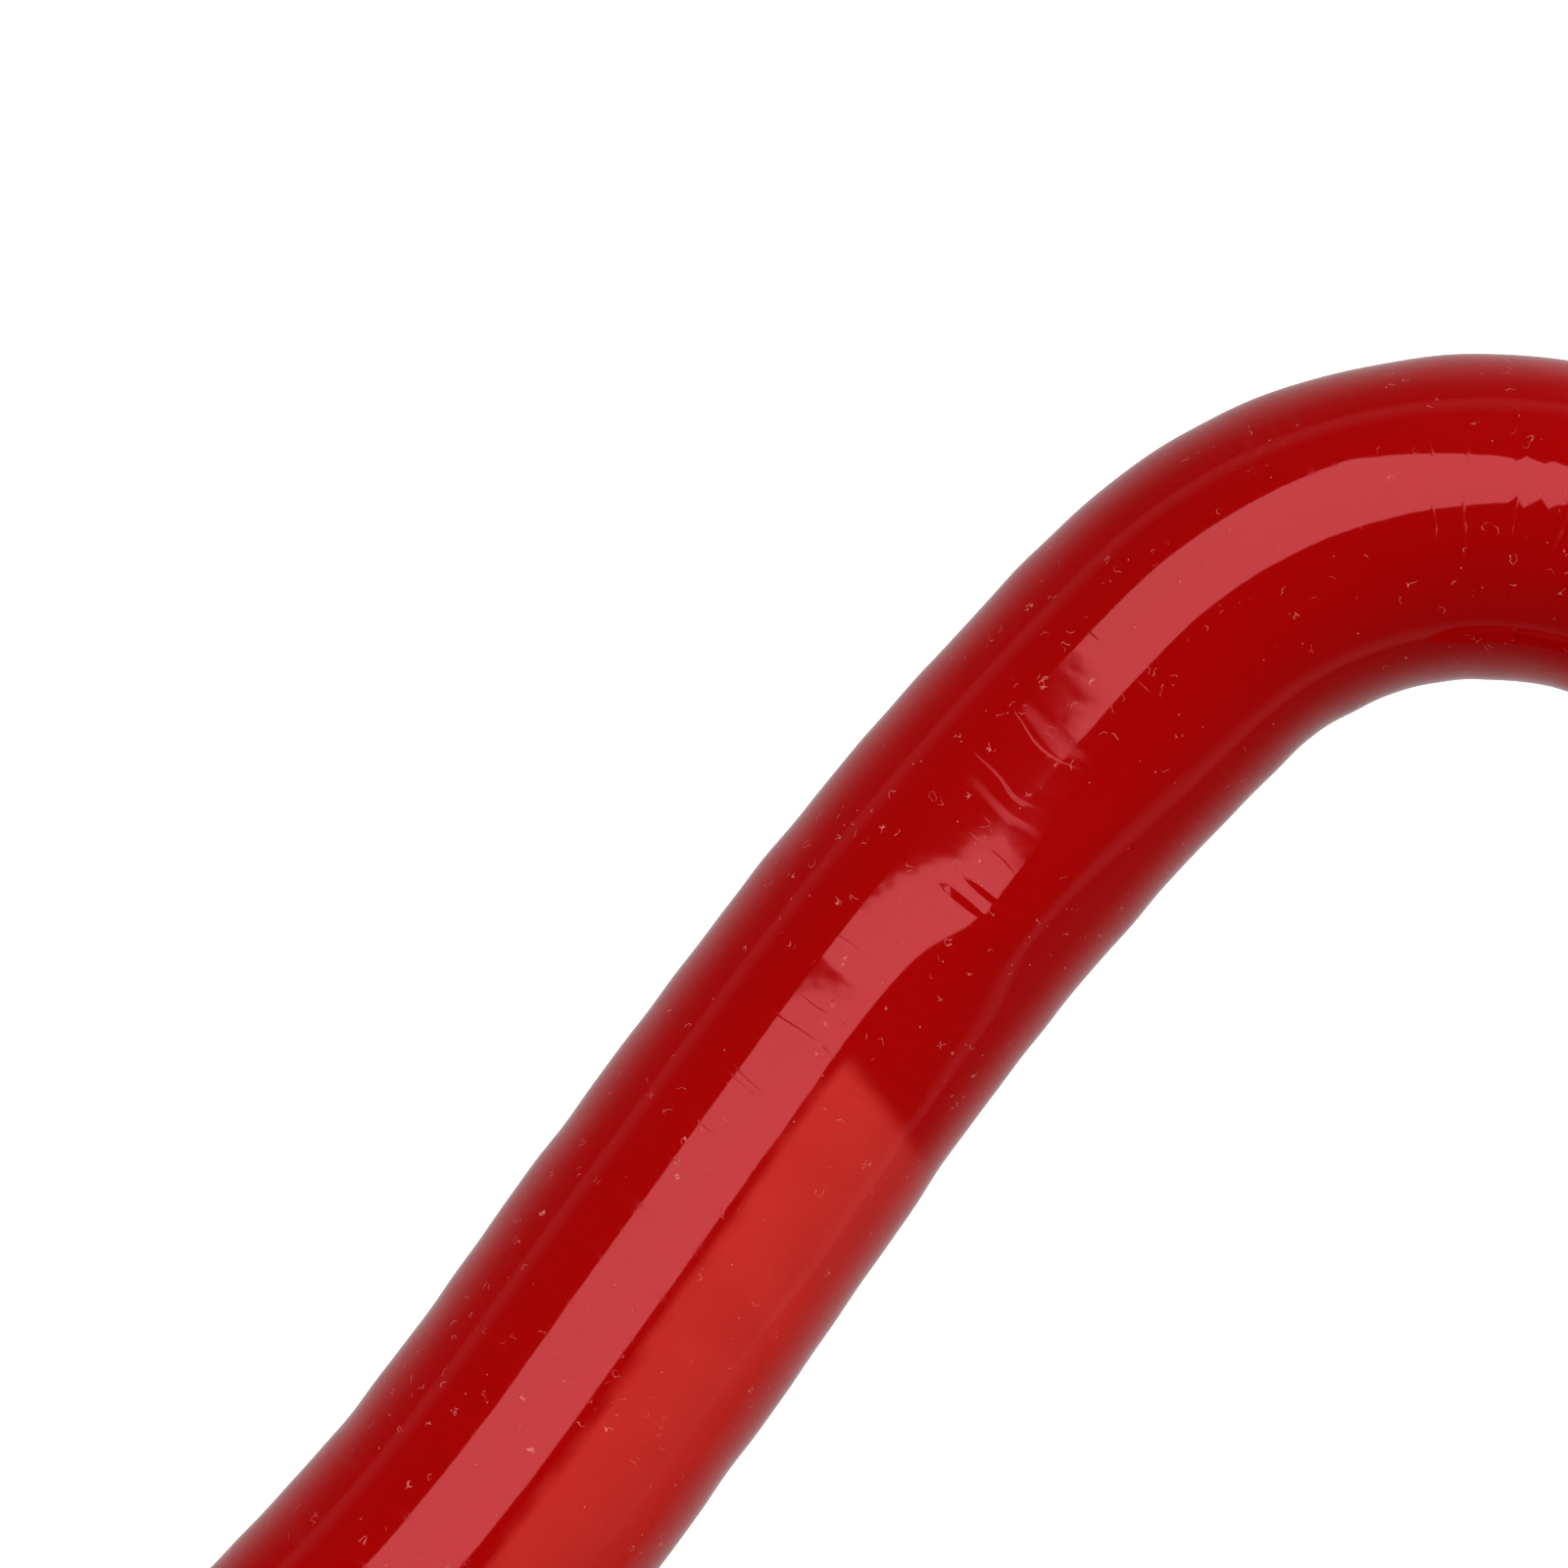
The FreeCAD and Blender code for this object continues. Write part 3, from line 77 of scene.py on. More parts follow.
class Value:
    """A shader socket that can stand in a sum; each operator adds its Math node."""

    def __init__(self, finish, socket):
        self.finish = finish
        self.socket = socket

    def sum(self, operation, *terms):
        return self.finish.node("Math", {"operation": operation}, dict(enumerate(terms)))

    def __add__(self, other):
        return self.sum("ADD", self, other)

    __radd__ = __add__

    def __sub__(self, other):
        return self.sum("SUBTRACT", self, other)

    def __rsub__(self, other):
        return self.sum("SUBTRACT", other, self)

    def __mul__(self, other):
        return self.sum("MULTIPLY", self, other)

    __rmul__ = __mul__

    def __abs__(self):
        return self.sum("ABSOLUTE", self)


class Finish:
    """A material, or the world, and the nodes that give it its look."""

    def __init__(self, owner, shader, **constants):
        owner.use_nodes = True
        self.owner = owner
        self.tree = owner.node_tree
        self.shader = self.tree.nodes[shader]
        self.feed(**constants)

    def put(self, target, value):
        """Link a socket to a Value, or set it to a number, colour or vector."""
        if isinstance(value, Value):
            self.tree.links.new(value.socket, target)
        elif target.type == "RGBA":
            target.default_value = (*value, 1)
        else:
            target.default_value = value

    def feed(self, **sockets):
        """Set or drive the shader's own sockets, named with underscores for spaces."""
        for name, value in sockets.items():
            self.put(self.shader.inputs[name.replace("_", " ")], value)

    def node(self, kind, settings=None, sockets=None, output=0):
        """Add a node of a kind, set it up, feed its sockets and give back one output."""
        made = self.tree.nodes.new(f"ShaderNode{kind}")
        for name, value in (settings or {}).items():
            if name == "stops":
                elements = made.color_ramp.elements
                while len(elements) < len(value):
                    elements.new(0.5)
                for element, (position, colour) in zip(elements, value):
                    element.position = position
                    element.color = (*colour, 1)
            else:
                setattr(made, name, value)
        for name, value in (sockets or {}).items():
            self.put(made.inputs[name], value)
        return Value(self, made.outputs[output])

    def between(self, factor, first, second):
        """A colour between two colours."""
        return self.node("Mix", {"data_type": "RGBA"}, {0: factor, 6: first, 7: second}, output=2)

    def fade(self, value, low, high, to_low=0.0, to_high=1.0):
        """A value mapped from one span to another, smooth at both ends and held beyond them."""
        sockets = {0: value, 1: low, 2: high, 3: to_low, 4: to_high}
        return self.node("MapRange", {"interpolation_type": "SMOOTHSTEP"}, sockets)

    def place(self, stretch=(1, 1, 1)):
        """The place in the frame in millimetres, each axis stretched by a factor."""
        here = self.node("TexCoord", output=3)
        return self.node("Mapping", {}, {0: here, 3: [factor / MM for factor in stretch]})

    def noise(self, place, scale, detail=2.0, warp=0.0):
        """Soft noise from 0 to 1, with so many cells to the millimetre."""
        sockets = {"Vector": place, "Scale": scale, "Detail": detail, "Distortion": warp}
        return self.node("TexNoise", {}, sockets)

    def cells(self, place, scale, feature="F1", output=0):
        """The distance to the nearest point, or to the nearest edge, in a field of cells."""
        return self.node("TexVoronoi", {"feature": feature}, {"Vector": place, "Scale": scale}, output)

    def relief(self, height, depth, below=None):
        """A bump so many millimetres deep, laid over another if one is given."""
        sockets = {"Distance": depth * MM, "Height": height}
        if below is not None:
            sockets["Normal"] = below
        return self.node("Bump", {}, sockets)

    def rubbed(self, radius):
        """A mask of the edges that hands and bags rub, so many millimetres wide."""
        soft = self.node("Bevel", {"samples": 6}, {"Radius": radius * MM})
        hard = self.node("NewGeometry", output=1)
        alike = self.node("VectorMath", {"operation": "DOT_PRODUCT"}, {0: soft, 1: hard}, output=1)
        return self.fade(alike, 0.97, 0.80)


def finish(name, **constants):
    """A new material on one Principled shader, with the values that are the same all over."""
    return Finish(bpy.data.materials.new(name), "Principled BSDF", **constants)


def grained(name, colours, rough, scale, depth, stretch=(1, 1, 1), patches=0.06, rub=None, **constants):
    """A finish whose colour and gloss follow a fine grain and broad patches, rubbed at its edges."""
    made = finish(name, **constants)
    grain = made.noise(made.place(stretch), scale, detail=4)
    mottle = grain * 0.5 + made.noise(made.place(), patches, detail=3) * 0.5
    tone = made.between(made.fade(mottle, 0.38, 0.62), *colours)
    gloss = made.fade(mottle, 0.38, 0.62, *rough)
    if rub is not None:
        worn = made.rubbed(rub[0]) * made.fade(made.noise(made.place(), 0.5, detail=5), 0.42, 0.55)
        tone = made.between(worn, tone, rub[1])
    made.feed(Base_Color=tone, Roughness=gloss, Normal=made.relief(grain, depth))
    return made.owner


def dress(material, *nodes):
    """Give CAD nodes their finish."""
    for name in nodes:
        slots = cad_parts[name].data.materials
        slots.clear()
        slots.append(material)


def softbox(name, along, across, heading, corner, height, radiance, fill=False):
    """A lamp over a rectangle in plan, given by its spans along a heading and to the left of it.

    A fill lamp is turned to face the hook, and leaves no reflection of its own.
    """
    forwards = Vector((math.cos(heading), math.sin(heading), 0))
    leftwards = Vector((-forwards.y, forwards.x, 0))
    lamp = bpy.data.lights.new(name, "AREA")
    lamp.shape = "RECTANGLE"
    lamp.size = along[1] - along[0]
    lamp.size_y = across[1] - across[0]
    lamp.energy = radiance * lamp.size * lamp.size_y * math.pi
    panel = bpy.data.objects.new(name, lamp)
    middle = forwards * sum(along) / 2 + leftwards * sum(across) / 2
    panel.location = corner + middle + Vector((0, 0, height))
    panel.rotation_euler.z = heading
    if fill:
        panel.rotation_euler = (aim - panel.location).to_track_quat("-Z", "Y").to_euler()
        panel.visible_glossy = False
    panel.visible_camera = False
    bpy.context.scene.collection.objects.link(panel)


LEG_HEADING = math.radians(54)
CROOK_HEADING = math.radians(45)
WINDOW_HEADING = math.radians(20)
crook_start = aim + Vector((0.002, 0.0165, 0))
softbox("softbox_leg", (-0.30, 0.0065), (-0.035, 0.165), LEG_HEADING, aim, 0.20, 3.4)
softbox("softbox_crook", (0, 0.26), (0, 0.38), CROOK_HEADING, crook_start, 0.35, 3.4)
softbox("softbox_bar", (-1.00, -0.20), (-0.05, 0.80), LEG_HEADING, aim, 0.60, 1.6)
softbox("fill_window", (0.45, 0.95), (-0.40, 0.40), WINDOW_HEADING, aim, 0.14, 8.5, fill=True)

HALF_TABLE = 20.0
table_mesh = bpy.data.meshes.new("studio_table")
table_sides = ((-1, -1), (1, -1), (1, 1), (-1, 1))
corners = [(x * HALF_TABLE, y * HALF_TABLE, cad_box[0].z) for x, y in table_sides]
table_mesh.from_pydata(corners, [], [(0, 1, 2, 3)])
studio_table = bpy.data.objects.new("studio_table", table_mesh)
bpy.context.scene.collection.objects.link(studio_table)
acrylic = finish("opal_acrylic", Roughness=0.6, Specular_IOR_Level=0.2,
                 Emission_Color=(1, 1, 1), Emission_Strength=0.86)
grain = acrylic.noise(acrylic.node("TexCoord", output=3), 3.0, detail=4)
acrylic.feed(Base_Color=acrylic.between(grain, (0.54, 0.54, 0.54), (0.58, 0.58, 0.575)))
table_mesh.materials.append(acrylic.owner)
studio_table.visible_glossy = False

bpy.context.scene.world = bpy.data.worlds.new("dim_room")
room = Finish(bpy.context.scene.world, "Background")
height = room.node("SeparateXYZ", {}, {0: room.node("TexCoord", output=0)}, output=2)
greys = [(0.0, 0.50), (0.16, 0.38), (0.34, 0.12), (0.47, 0.08),
         (0.50, 0.32), (0.535, 0.32), (0.60, 0.08), (1.0, 0.04)]
walls = [(position, (grey, grey, grey)) for position, grey in greys]
room.feed(Color=room.node("ValToRGB", {"stops": walls}, {0: height * 0.5 + 0.5}))

FRAME_WIDTH = 57.66 * MM
eye = bpy.data.cameras.new("camera")
eye.sensor_width = 36
eye.lens = 300
eye.clip_start, eye.clip_end = 0.01, 60
camera = bpy.data.objects.new("camera", eye)
camera.location = aim + Vector((0, 0, FRAME_WIDTH * eye.lens / eye.sensor_width))
bpy.context.scene.collection.objects.link(camera)
bpy.context.scene.camera = camera
bpy.context.scene.view_settings.view_transform = "Standard"


# ------------------------------------------------------------------ tube
# Drawn steel tube in red gloss powder coat, which pulls into a slight orange peel as it melts.
# Its notches hold two split spring pins, and a turned nylon plug is pressed into its end.

powder = finish("red_powder_coat", IOR=1.5, Coat_Weight=0.35, Coat_Roughness=0.06)
peel = powder.noise(powder.place(), 0.75, detail=2)
sprayed = powder.noise(powder.place((0.4, 1, 1)), 0.05, detail=3)
scuffs = powder.noise(powder.place((0.02, 1.6, 1.6)), 1.3, detail=3)
handled = powder.fade(powder.noise(powder.place(), 0.03, detail=2), 0.5, 0.62)
scuffed = powder.fade(scuffs, 0.66, 0.72) * handled
coat = powder.between(sprayed, (0.30, 0.0035, 0.003), (0.37, 0.006, 0.005))
coat = powder.between(powder.rubbed(0.35) * 0.5, coat, (0.46, 0.06, 0.05))
powder.feed(Base_Color=powder.between(scuffed * 0.35, coat, (0.50, 0.12, 0.10)),
            Roughness=powder.fade(sprayed, 0.3, 0.7, 0.20, 0.32) + scuffed * 0.25,
            Normal=powder.relief(peel, 0.012))
dress(powder.owner, "body_tube", "body_hook_rod", "shaft_hook_rod")

turned_nylon = grained("black_nylon", [(0.012, 0.012, 0.013), (0.024, 0.024, 0.025)],
                       (0.42, 0.60), 3.0, 0.02, rub=(0.4, (0.06, 0.06, 0.062)))
dress(turned_nylon, "tube_end_plug", "grip_end_cap")
spring_steel = grained("spring_steel", [(0.34, 0.33, 0.32), (0.50, 0.49, 0.48)],
                       (0.25, 0.42), 2.2, 0.006, stretch=(1, 1, 0.15), Metallic=1.0)
dress(spring_steel, "tube_pins", "bolt_spring", "wafer_springs", "retaining_clip", "guide_screw")


# ------------------------------------------------------------------ grip
# Closed-cell foam sleeve, blown on over the tube with soft rounded ends. Its skin is pebbled with
# burst cells, waisted a little between the fingers' places, and dusty where it has been held.

def rings_along(x, y, heading, radius, angle):
    """Rings of points round a line in the bar's plane, in millimetres above the table.

    Angle 0 is the top, and a positive angle is on the right of the heading.
    """
    columns = (np.asarray(value, float)[:, None] for value in (x, y, heading))
    x, y, heading = (np.broadcast_to(column, radius.shape) for column in columns)
    across = radius * np.sin(angle)
    up = bar_height / MM + radius * np.cos(angle)
    return np.stack([x + across * np.sin(heading), y - across * np.cos(heading), up], axis=-1)


def round_angles(around):
    """So many angles round a ring, as a row."""
    return (np.arange(around) * 2 * math.pi / around)[None, :]


def skin(name, rings):
    """A closed mesh over rings of points in millimetres: each joins the next, the last the first."""
    count, around, _ = rings.shape
    index = np.arange(count * around).reshape(count, around)
    following = np.roll(index, -1, axis=0)
    faces = np.stack([index, following, np.roll(following, -1, axis=1), np.roll(index, -1, axis=1)], axis=-1)
    mesh = bpy.data.meshes.new(name)
    mesh.from_pydata((rings.reshape(-1, 3) * MM).tolist(), [], faces.reshape(-1, 4).tolist())
    shaped = bmesh.new()
    shaped.from_mesh(mesh)
    bmesh.ops.remove_doubles(shaped, verts=shaped.verts, dist=2e-6)
    bmesh.ops.recalc_face_normals(shaped, faces=shaped.faces)
    for face in shaped.faces:
        face.smooth = True
    shaped.to_mesh(mesh)
    shaped.free()
    return mesh


def add_piece(name, mesh, material, body, slot, *nodes):
    """A piece that rides on a body and stands for CAD nodes."""
    piece = bpy.data.objects.new(name, mesh)
    bpy.context.scene.collection.objects.link(piece)
    mesh.materials.append(material)
    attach(piece, body)
    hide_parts(*nodes)
    return piece


def rippled(along, angle, waves, seed):
    """A smooth unevenness: rows of depth, length along and lobes round, each with its own phase."""
    phase = np.random.default_rng(seed).uniform(0, 2 * math.pi, (len(waves), 2))
    total = 0
    for (depth, length, lobes), (first, second) in zip(waves, phase):
        total = total + depth * np.sin(2 * math.pi * along / length + first) * np.cos(lobes * angle + second)
    return total


foam = finish("closed_cell_foam", Specular_IOR_Level=0.35)
pores = foam.cells(foam.place(), 0.95)
fine_pores = foam.cells(foam.place(), 2.6)
pebble = foam.fade(pores, 0.05, 0.65) * 0.7 + foam.fade(fine_pores, 0.0, 0.6) * 0.3
dust = foam.fade(foam.noise(foam.place(), 0.07, detail=6), 0.42, 0.66)
# painted shade: the foam is coloured darker down in the low parts of the pebbling, following the bump's own
# height
rubber_with_painted_pore_shade = foam.between(pebble, (0.004, 0.004, 0.004), (0.018, 0.018, 0.019))
foam.feed(Base_Color=foam.between(dust * pebble * 0.35, rubber_with_painted_pore_shade, (0.055, 0.052, 0.048)),
          Roughness=foam.fade(dust, 0, 1, 0.72, 0.92), Normal=foam.relief(pebble, 0.16))

grip_low, grip_high = (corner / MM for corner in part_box("grip"))
tube_low, tube_high = (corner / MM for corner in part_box("body_tube"))
grip_radius = (grip_high.y - grip_low.y) / 2
tube_radius = (tube_high.y - tube_low.y) / 2
GRIP_ROUND = 3.6
GRIP_STEP = 0.6
FINGER_PITCH = 28.0
FINGER_DEPTH = 0.45
FINGER_FADE = 10.0
BELOW_CAD_SKIN = 0.2
LINING_GAP = 0.02
angle = round_angles(128)
quarter = np.linspace(0, math.pi / 2, 9)
REAR_SQUASH = 0.4
rear = grip_low.x + GRIP_ROUND * (1 - np.cos(quarter)) * REAR_SQUASH
front = grip_high.x - GRIP_ROUND * (1 - np.cos(quarter))[::-1]
shoulder = grip_radius - GRIP_ROUND * (1 - np.sin(quarter))
straight = GRIP_ROUND + GRIP_STEP
middle = np.arange(grip_low.x + straight, grip_high.x - straight, GRIP_STEP)
along = np.concatenate([rear, middle, front])
radius = np.concatenate([shoulder, np.full(len(middle), grip_radius), shoulder[::-1]])
finger_wave = FINGER_DEPTH * (0.5 - 0.5 * np.cos(2 * math.pi * (along - grip_low.x) / FINGER_PITCH))
ends = np.clip(np.minimum(along - grip_low.x, grip_high.x - along) / FINGER_FADE, 0, 1)
uneven = rippled(along[:, None], angle, [(0.10, 46, 2), (0.07, 21, 3), (0.04, 9, 5)], seed=3)
outside = radius[:, None] - ends[:, None] * (finger_wave[:, None] + BELOW_CAD_SKIN + uneven)
outside = np.minimum(outside, grip_radius)
bore = np.linspace(grip_high.x, grip_low.x, 30)
lining = np.full((len(bore), angle.shape[1]), tube_radius + LINING_GAP)
along = np.concatenate([along, bore])
level = np.zeros(len(along))
grip_rings = rings_along(along, level, level, np.concatenate([outside, lining]), angle)
add_piece("foam_grip", skin("foam_grip", grip_rings), foam.owner, "lock_body", "grip_foam", "grip")


# ------------------------------------------------------------------ sliding shaft
# Round steel bar, turned with saw-tooth notches and plated in bright zinc that keeps the lines of
# the drawing die. A nylon ring, screwed to its tail, guides it in the tube.

zinc = finish("bright_zinc_plate", Metallic=1.0)
drawn = zinc.noise(zinc.place((0.03, 1, 1)), 4.5, detail=4)
clouds = zinc.noise(zinc.place((0.35, 1, 1)), 0.09, detail=4)
oil = zinc.noise(zinc.place((0.2, 1, 1)), 0.35, detail=5)
plate = zinc.between(clouds, (0.36, 0.37, 0.39), (0.52, 0.53, 0.54))
plate = zinc.between(zinc.fade(oil, 0.56, 0.72) * 0.5, plate, (0.42, 0.38, 0.31))
zinc.feed(Base_Color=plate, Roughness=zinc.fade(drawn * 0.5 + clouds * 0.5, 0.36, 0.64, 0.27, 0.46),
          Normal=zinc.relief(drawn, 0.004))
dress(zinc.owner, "shaft")
guide_nylon = grained("white_nylon", [(0.62, 0.60, 0.54), (0.74, 0.72, 0.67)],
                      (0.35, 0.5), 2.0, 0.01, stretch=(1, 0.3, 0.3), Subsurface_Weight=0.1)
dress(guide_nylon, "guide_ring")


# ------------------------------------------------------------------ hook and shaft sleeves
# Thick glossy red PVC tube, pushed over each bent rod with talc and water. It sits tight round the
# crook and looser on the lower leg, where it lifts off the steel and creased as it flexed. There, on
# the leg's right flank, its colour is made paler: partly the lifted PVC, partly a painted sheen of light.

def red_vinyl(name):
    """Glossy red PVC, paler where it lifts (partly a painted sheen of light), with fine creases, lint and
    specks of dust.
    """
    vinyl = finish(name, IOR=1.5, Specular_IOR_Level=0.72, Specular_Tint=(1.0, 0.26, 0.29))
    place = vinyl.place()
    batch = vinyl.noise(place, 0.09, detail=3)
    body = vinyl.between(batch, (0.212, 0.0002, 0.0002), (0.242, 0.0006, 0.0005))
    loose = vinyl.node("Attribute", {"attribute_name": "loose"}, output=2)
    along = vinyl.node("Attribute", {"attribute_name": "along"}, output=2)
    cloudy = vinyl.noise(place, 0.35, detail=4)
    # painted sheen: the lifted zone is coloured paler, partly for the PVC off the steel and partly standing
    # for light on that flank
    body = vinyl.between(loose * vinyl.fade(cloudy, 0.2, 0.8, 0.8, 1.0), body, (0.345, 0.017, 0.013))

    line = vinyl.noise(place, 2.1, detail=1)
    thread = 1 - vinyl.fade(abs(line - 0.5), 0.004, 0.016)
    drift = vinyl.fade(vinyl.noise(place, 0.22, detail=2), 0.40, 0.60)
    tuft = (1 - vinyl.fade(vinyl.cells(place, 1.15), 0.17, 0.27)) * drift
    speck = 1 - vinyl.fade(vinyl.cells(place, 1.35), 0.026, 0.052)
    lint = thread * tuft
    body = vinyl.between(lint * 0.42 + speck * 0.40, body, (0.70, 0.24, 0.20))

    wander = along + vinyl.noise(place, 0.35, detail=1) * 1.2
    hairline = vinyl.cells(vinyl.node("CombineXYZ", {}, {0: wander}), 0.42, "DISTANCE_TO_EDGE")
    patchy = vinyl.fade(vinyl.noise(place, 0.25, detail=2), 0.45, 0.6)
    crease = (1 - vinyl.fade(hairline, 0.0, 0.02)) * patchy
    ripple = vinyl.noise(place, 1.1, detail=1)
    surface = vinyl.relief(ripple, 0.0022)
    surface = vinyl.relief(crease, -0.0014, surface)
    surface = vinyl.relief(lint + speck, 0.012, surface)
    vinyl.feed(Base_Color=body, Roughness=0.05 + lint * 0.4 + crease * 0.1, Normal=surface)
    return vinyl.owner


vinyl_red = red_vinyl("glossy_red_vinyl")
SLEEVE_AROUND = 120
ROD_RADIUS = 4.5
ROD_GAP = 0.03
LINE_STEP = 0.15

# each run of the rod, from its foot to its tip: its length, or its bend radius, and its turn
FOOT_LENGTH = 18.0
FOOT_BEND = 14.0
HOOK_RUNS = ((FOOT_LENGTH, 0), (FOOT_BEND, 44.5), (78.4, 9.9), (15.0, 0),
             (126.6, -9.5), (16.3, -59.9), (14.0, 0))


def hook_line(label):
    """A hook's middle line as rows of x, y, heading and distance, its foot and its direction."""
    low, high = (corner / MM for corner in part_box(f"{label}_rod"))
    outwards = 1 if label == "shaft_hook" else -1
    foot_x = low.x if outwards > 0 else high.x
    rod_radius = (high.z - low.z) / 2
    spot = np.array([0.0, low.y + rod_radius])
    heading, travelled, rows = 0.0, 0.0, []
    for size, turn in HOOK_RUNS:
        length = size * math.radians(abs(turn)) if turn else size
        steps = round(length / LINE_STEP)
        bend = math.radians(turn) / steps
        for _ in range(steps):
            rows.append((*spot, heading, travelled))
            heading += bend / 2
            spot = spot + length / steps * np.array([math.cos(heading), math.sin(heading)])
            heading += bend / 2
            travelled += length / steps
    rows.append((*spot, heading, travelled))
    return np.array(rows), foot_x, outwards


def stand(rings, foot_x, outwards):
    """Move rings made from a hook's own foot to the hook's place, turned round for the body's."""
    rings[..., 0] = foot_x + outwards * rings[..., 0]
    return rings


def add_values(mesh, **values):
    """Keep values with the mesh's points for its material to read."""
    for name, numbers in values.items():
        layer = mesh.attributes.new(name, "FLOAT", "POINT")
        layer.data.foreach_set("value", np.asarray(numbers, float).ravel())


def degrees_from(angle, middle):
    """How far each angle is from a middle one, in degrees from -180 to 180."""
    return np.degrees(np.angle(np.exp(1j * (angle - math.radians(middle)))))


def crease(along, angle, at, middle, half, depth, width, slant=0.0):
    """A groove across a sleeve, in millimetres and degrees, that fades out at its ends."""
    off = degrees_from(angle, middle)
    reach = np.clip(1 - (off / half) ** 2, 0, 1)
    return -depth * reach * np.exp(-((along - at - slant * np.radians(off)) / width) ** 2)


def buckle(along, angle, at, middle, height, rise, fall, half):
    """A low swelling, or a dent if its height is negative, where the tube has flexed too far."""
    off = degrees_from(angle, middle)
    length = np.where(along < at, rise, fall)
    return height * np.exp(-(off / half) ** 2 - ((along - at) / length) ** 2)


def mouth_round(along):
    """How much of a sleeve's wall its rounded rim takes off, near its start."""
    mouth = np.clip(along / RIM_LENGTH, 0, 1)
    return RIM_DEPTH * (1 - np.sqrt(np.clip(1 - (1 - mouth) ** 2, 0, 1)))


SLEEVE_START = FOOT_LENGTH + FOOT_BEND * math.radians(31.0)
CAP_GRIP = 9.0
SLACK_RADIUS = 6.22
TIGHTENING = 0.24
LARGEST_RADIUS = 6.38
RIM_LENGTH = 0.8
RIM_DEPTH = 0.35
LOOSE_END = 33
LINING_EVERY = 12
HOOK_WAVES = [(0.030, 40, 1), (0.008, 17, 2), (0.003, 8.1, 3), (0.001, 3.1, 5)]
FLANK_WAVES = [(0.020, 7.3, 0), (0.014, 4.6, 1), (0.006, 2.7, 1)]


def hook_sleeve(label, body, creases, buckles, seed):
    """A hook's sleeve, slack on the leg and tight round the crook, with its creases and buckles."""
    rows, foot_x, outwards = hook_line(label)
    inside = (rows[:, 3] >= SLEEVE_START) & (rows[:, 3] <= rows[-1, 3] - CAP_GRIP + 0.1)
    x, y, heading, travelled = rows[inside].T
    along = travelled - SLEEVE_START
    angle = round_angles(SLEEVE_AROUND)
    s = along[:, None]
    radius = SLACK_RADIUS - TIGHTENING * np.clip((s - 24) / 12, 0, 1)
    radius = radius + rippled(s, angle, HOOK_WAVES, seed)
    for details in creases:
        radius = radius + crease(s, angle, *details)
    for details in buckles:
        radius = radius + buckle(s, angle, *details)
    degrees = degrees_from(angle, 0)
    flank = np.clip((np.abs(degrees) - 62) / 20, 0, 1)
    radius = radius + flank * rippled(s, angle, FLANK_WAVES, seed + 1)
    # the lifted zone on the leg's right flank, which the material colours paler: partly lifted PVC, partly a
    # painted sheen of light
    seam = 10.6 - 3.4 * np.clip((s - 10) / 18, 0, 1) + 0.6 * np.sin(s / 1.3) + 0.4 * np.sin(s * 2.9)
    slanted_end = LOOSE_END - (degrees - 25) * 0.03
    past = 1 / (1 + np.exp((degrees - 62) / 9)) / (1 + np.exp((s - slanted_end) / 0.15))
    lifted_and_painted_sheen = past / (1 + np.exp(-(degrees - seam) / 0.6))
    radius = radius + 0.06 * past / (1 + np.exp(-(degrees - seam - 8) / 3))
    radius = np.minimum(radius - mouth_round(s), LARGEST_RADIUS)
    outer = rings_along(x, y, heading, radius, angle)
    back = slice(None, None, -LINING_EVERY)
    wall = np.full((len(along[back]), SLEEVE_AROUND), ROD_RADIUS + ROD_GAP)
    inner = rings_along(x[back], y[back], heading[back], wall, angle)
    mesh = skin(f"{label}_pvc_sleeve", stand(np.concatenate([outer, inner]), foot_x, outwards))
    hidden = np.zeros(wall.size)
    add_values(mesh, loose=np.concatenate([lifted_and_painted_sheen.ravel(), hidden]),
               along=np.concatenate([np.broadcast_to(s, radius.shape).ravel(), hidden]))
    add_piece(f"{label}_pvc_sleeve", mesh, vinyl_red, body, "red_sleeve", f"{label}_sleeve")


# creases: place, middle, half width round, depth, width along, slant; buckles: place, middle,
# height, length before and after, half width round
hook_sleeve("shaft_hook", "shaft", [
    (40.9, 9, 13, 0.035, 0.17, 0.0), (41.6, 12, 11, 0.025, 0.16, 0.2),
    (33.2, 24, 17, 0.060, 0.20, 0.2), (32.6, 20, 14, 0.030, 0.16, 0.0), (33.9, 30, 15, 0.035, 0.16, 0.0),
    (66.6, -14, 22, 0.012, 0.16, 0.0), (67.5, -12, 18, 0.010, 0.16, 0.0)],
    [(41.5, 24, 0.34, 3.2, 8.0, 14), (33.6, 27, -0.04, 1.2, 1.2, 12)], seed=11)
hook_sleeve("body_hook", "lock_body", [
    (38.0, -20, 24, 0.06, 0.28, 0.2), (37.2, -8, 16, 0.04, 0.18, 0.0), (31.0, 18, 20, 0.07, 0.24, 0.1),
    (52.0, 6, 18, 0.03, 0.18, 0.0), (64.0, -10, 24, 0.03, 0.16, 0.0)],
    [(37.4, -24, 0.20, 2.6, 7.0, 16)], seed=29)

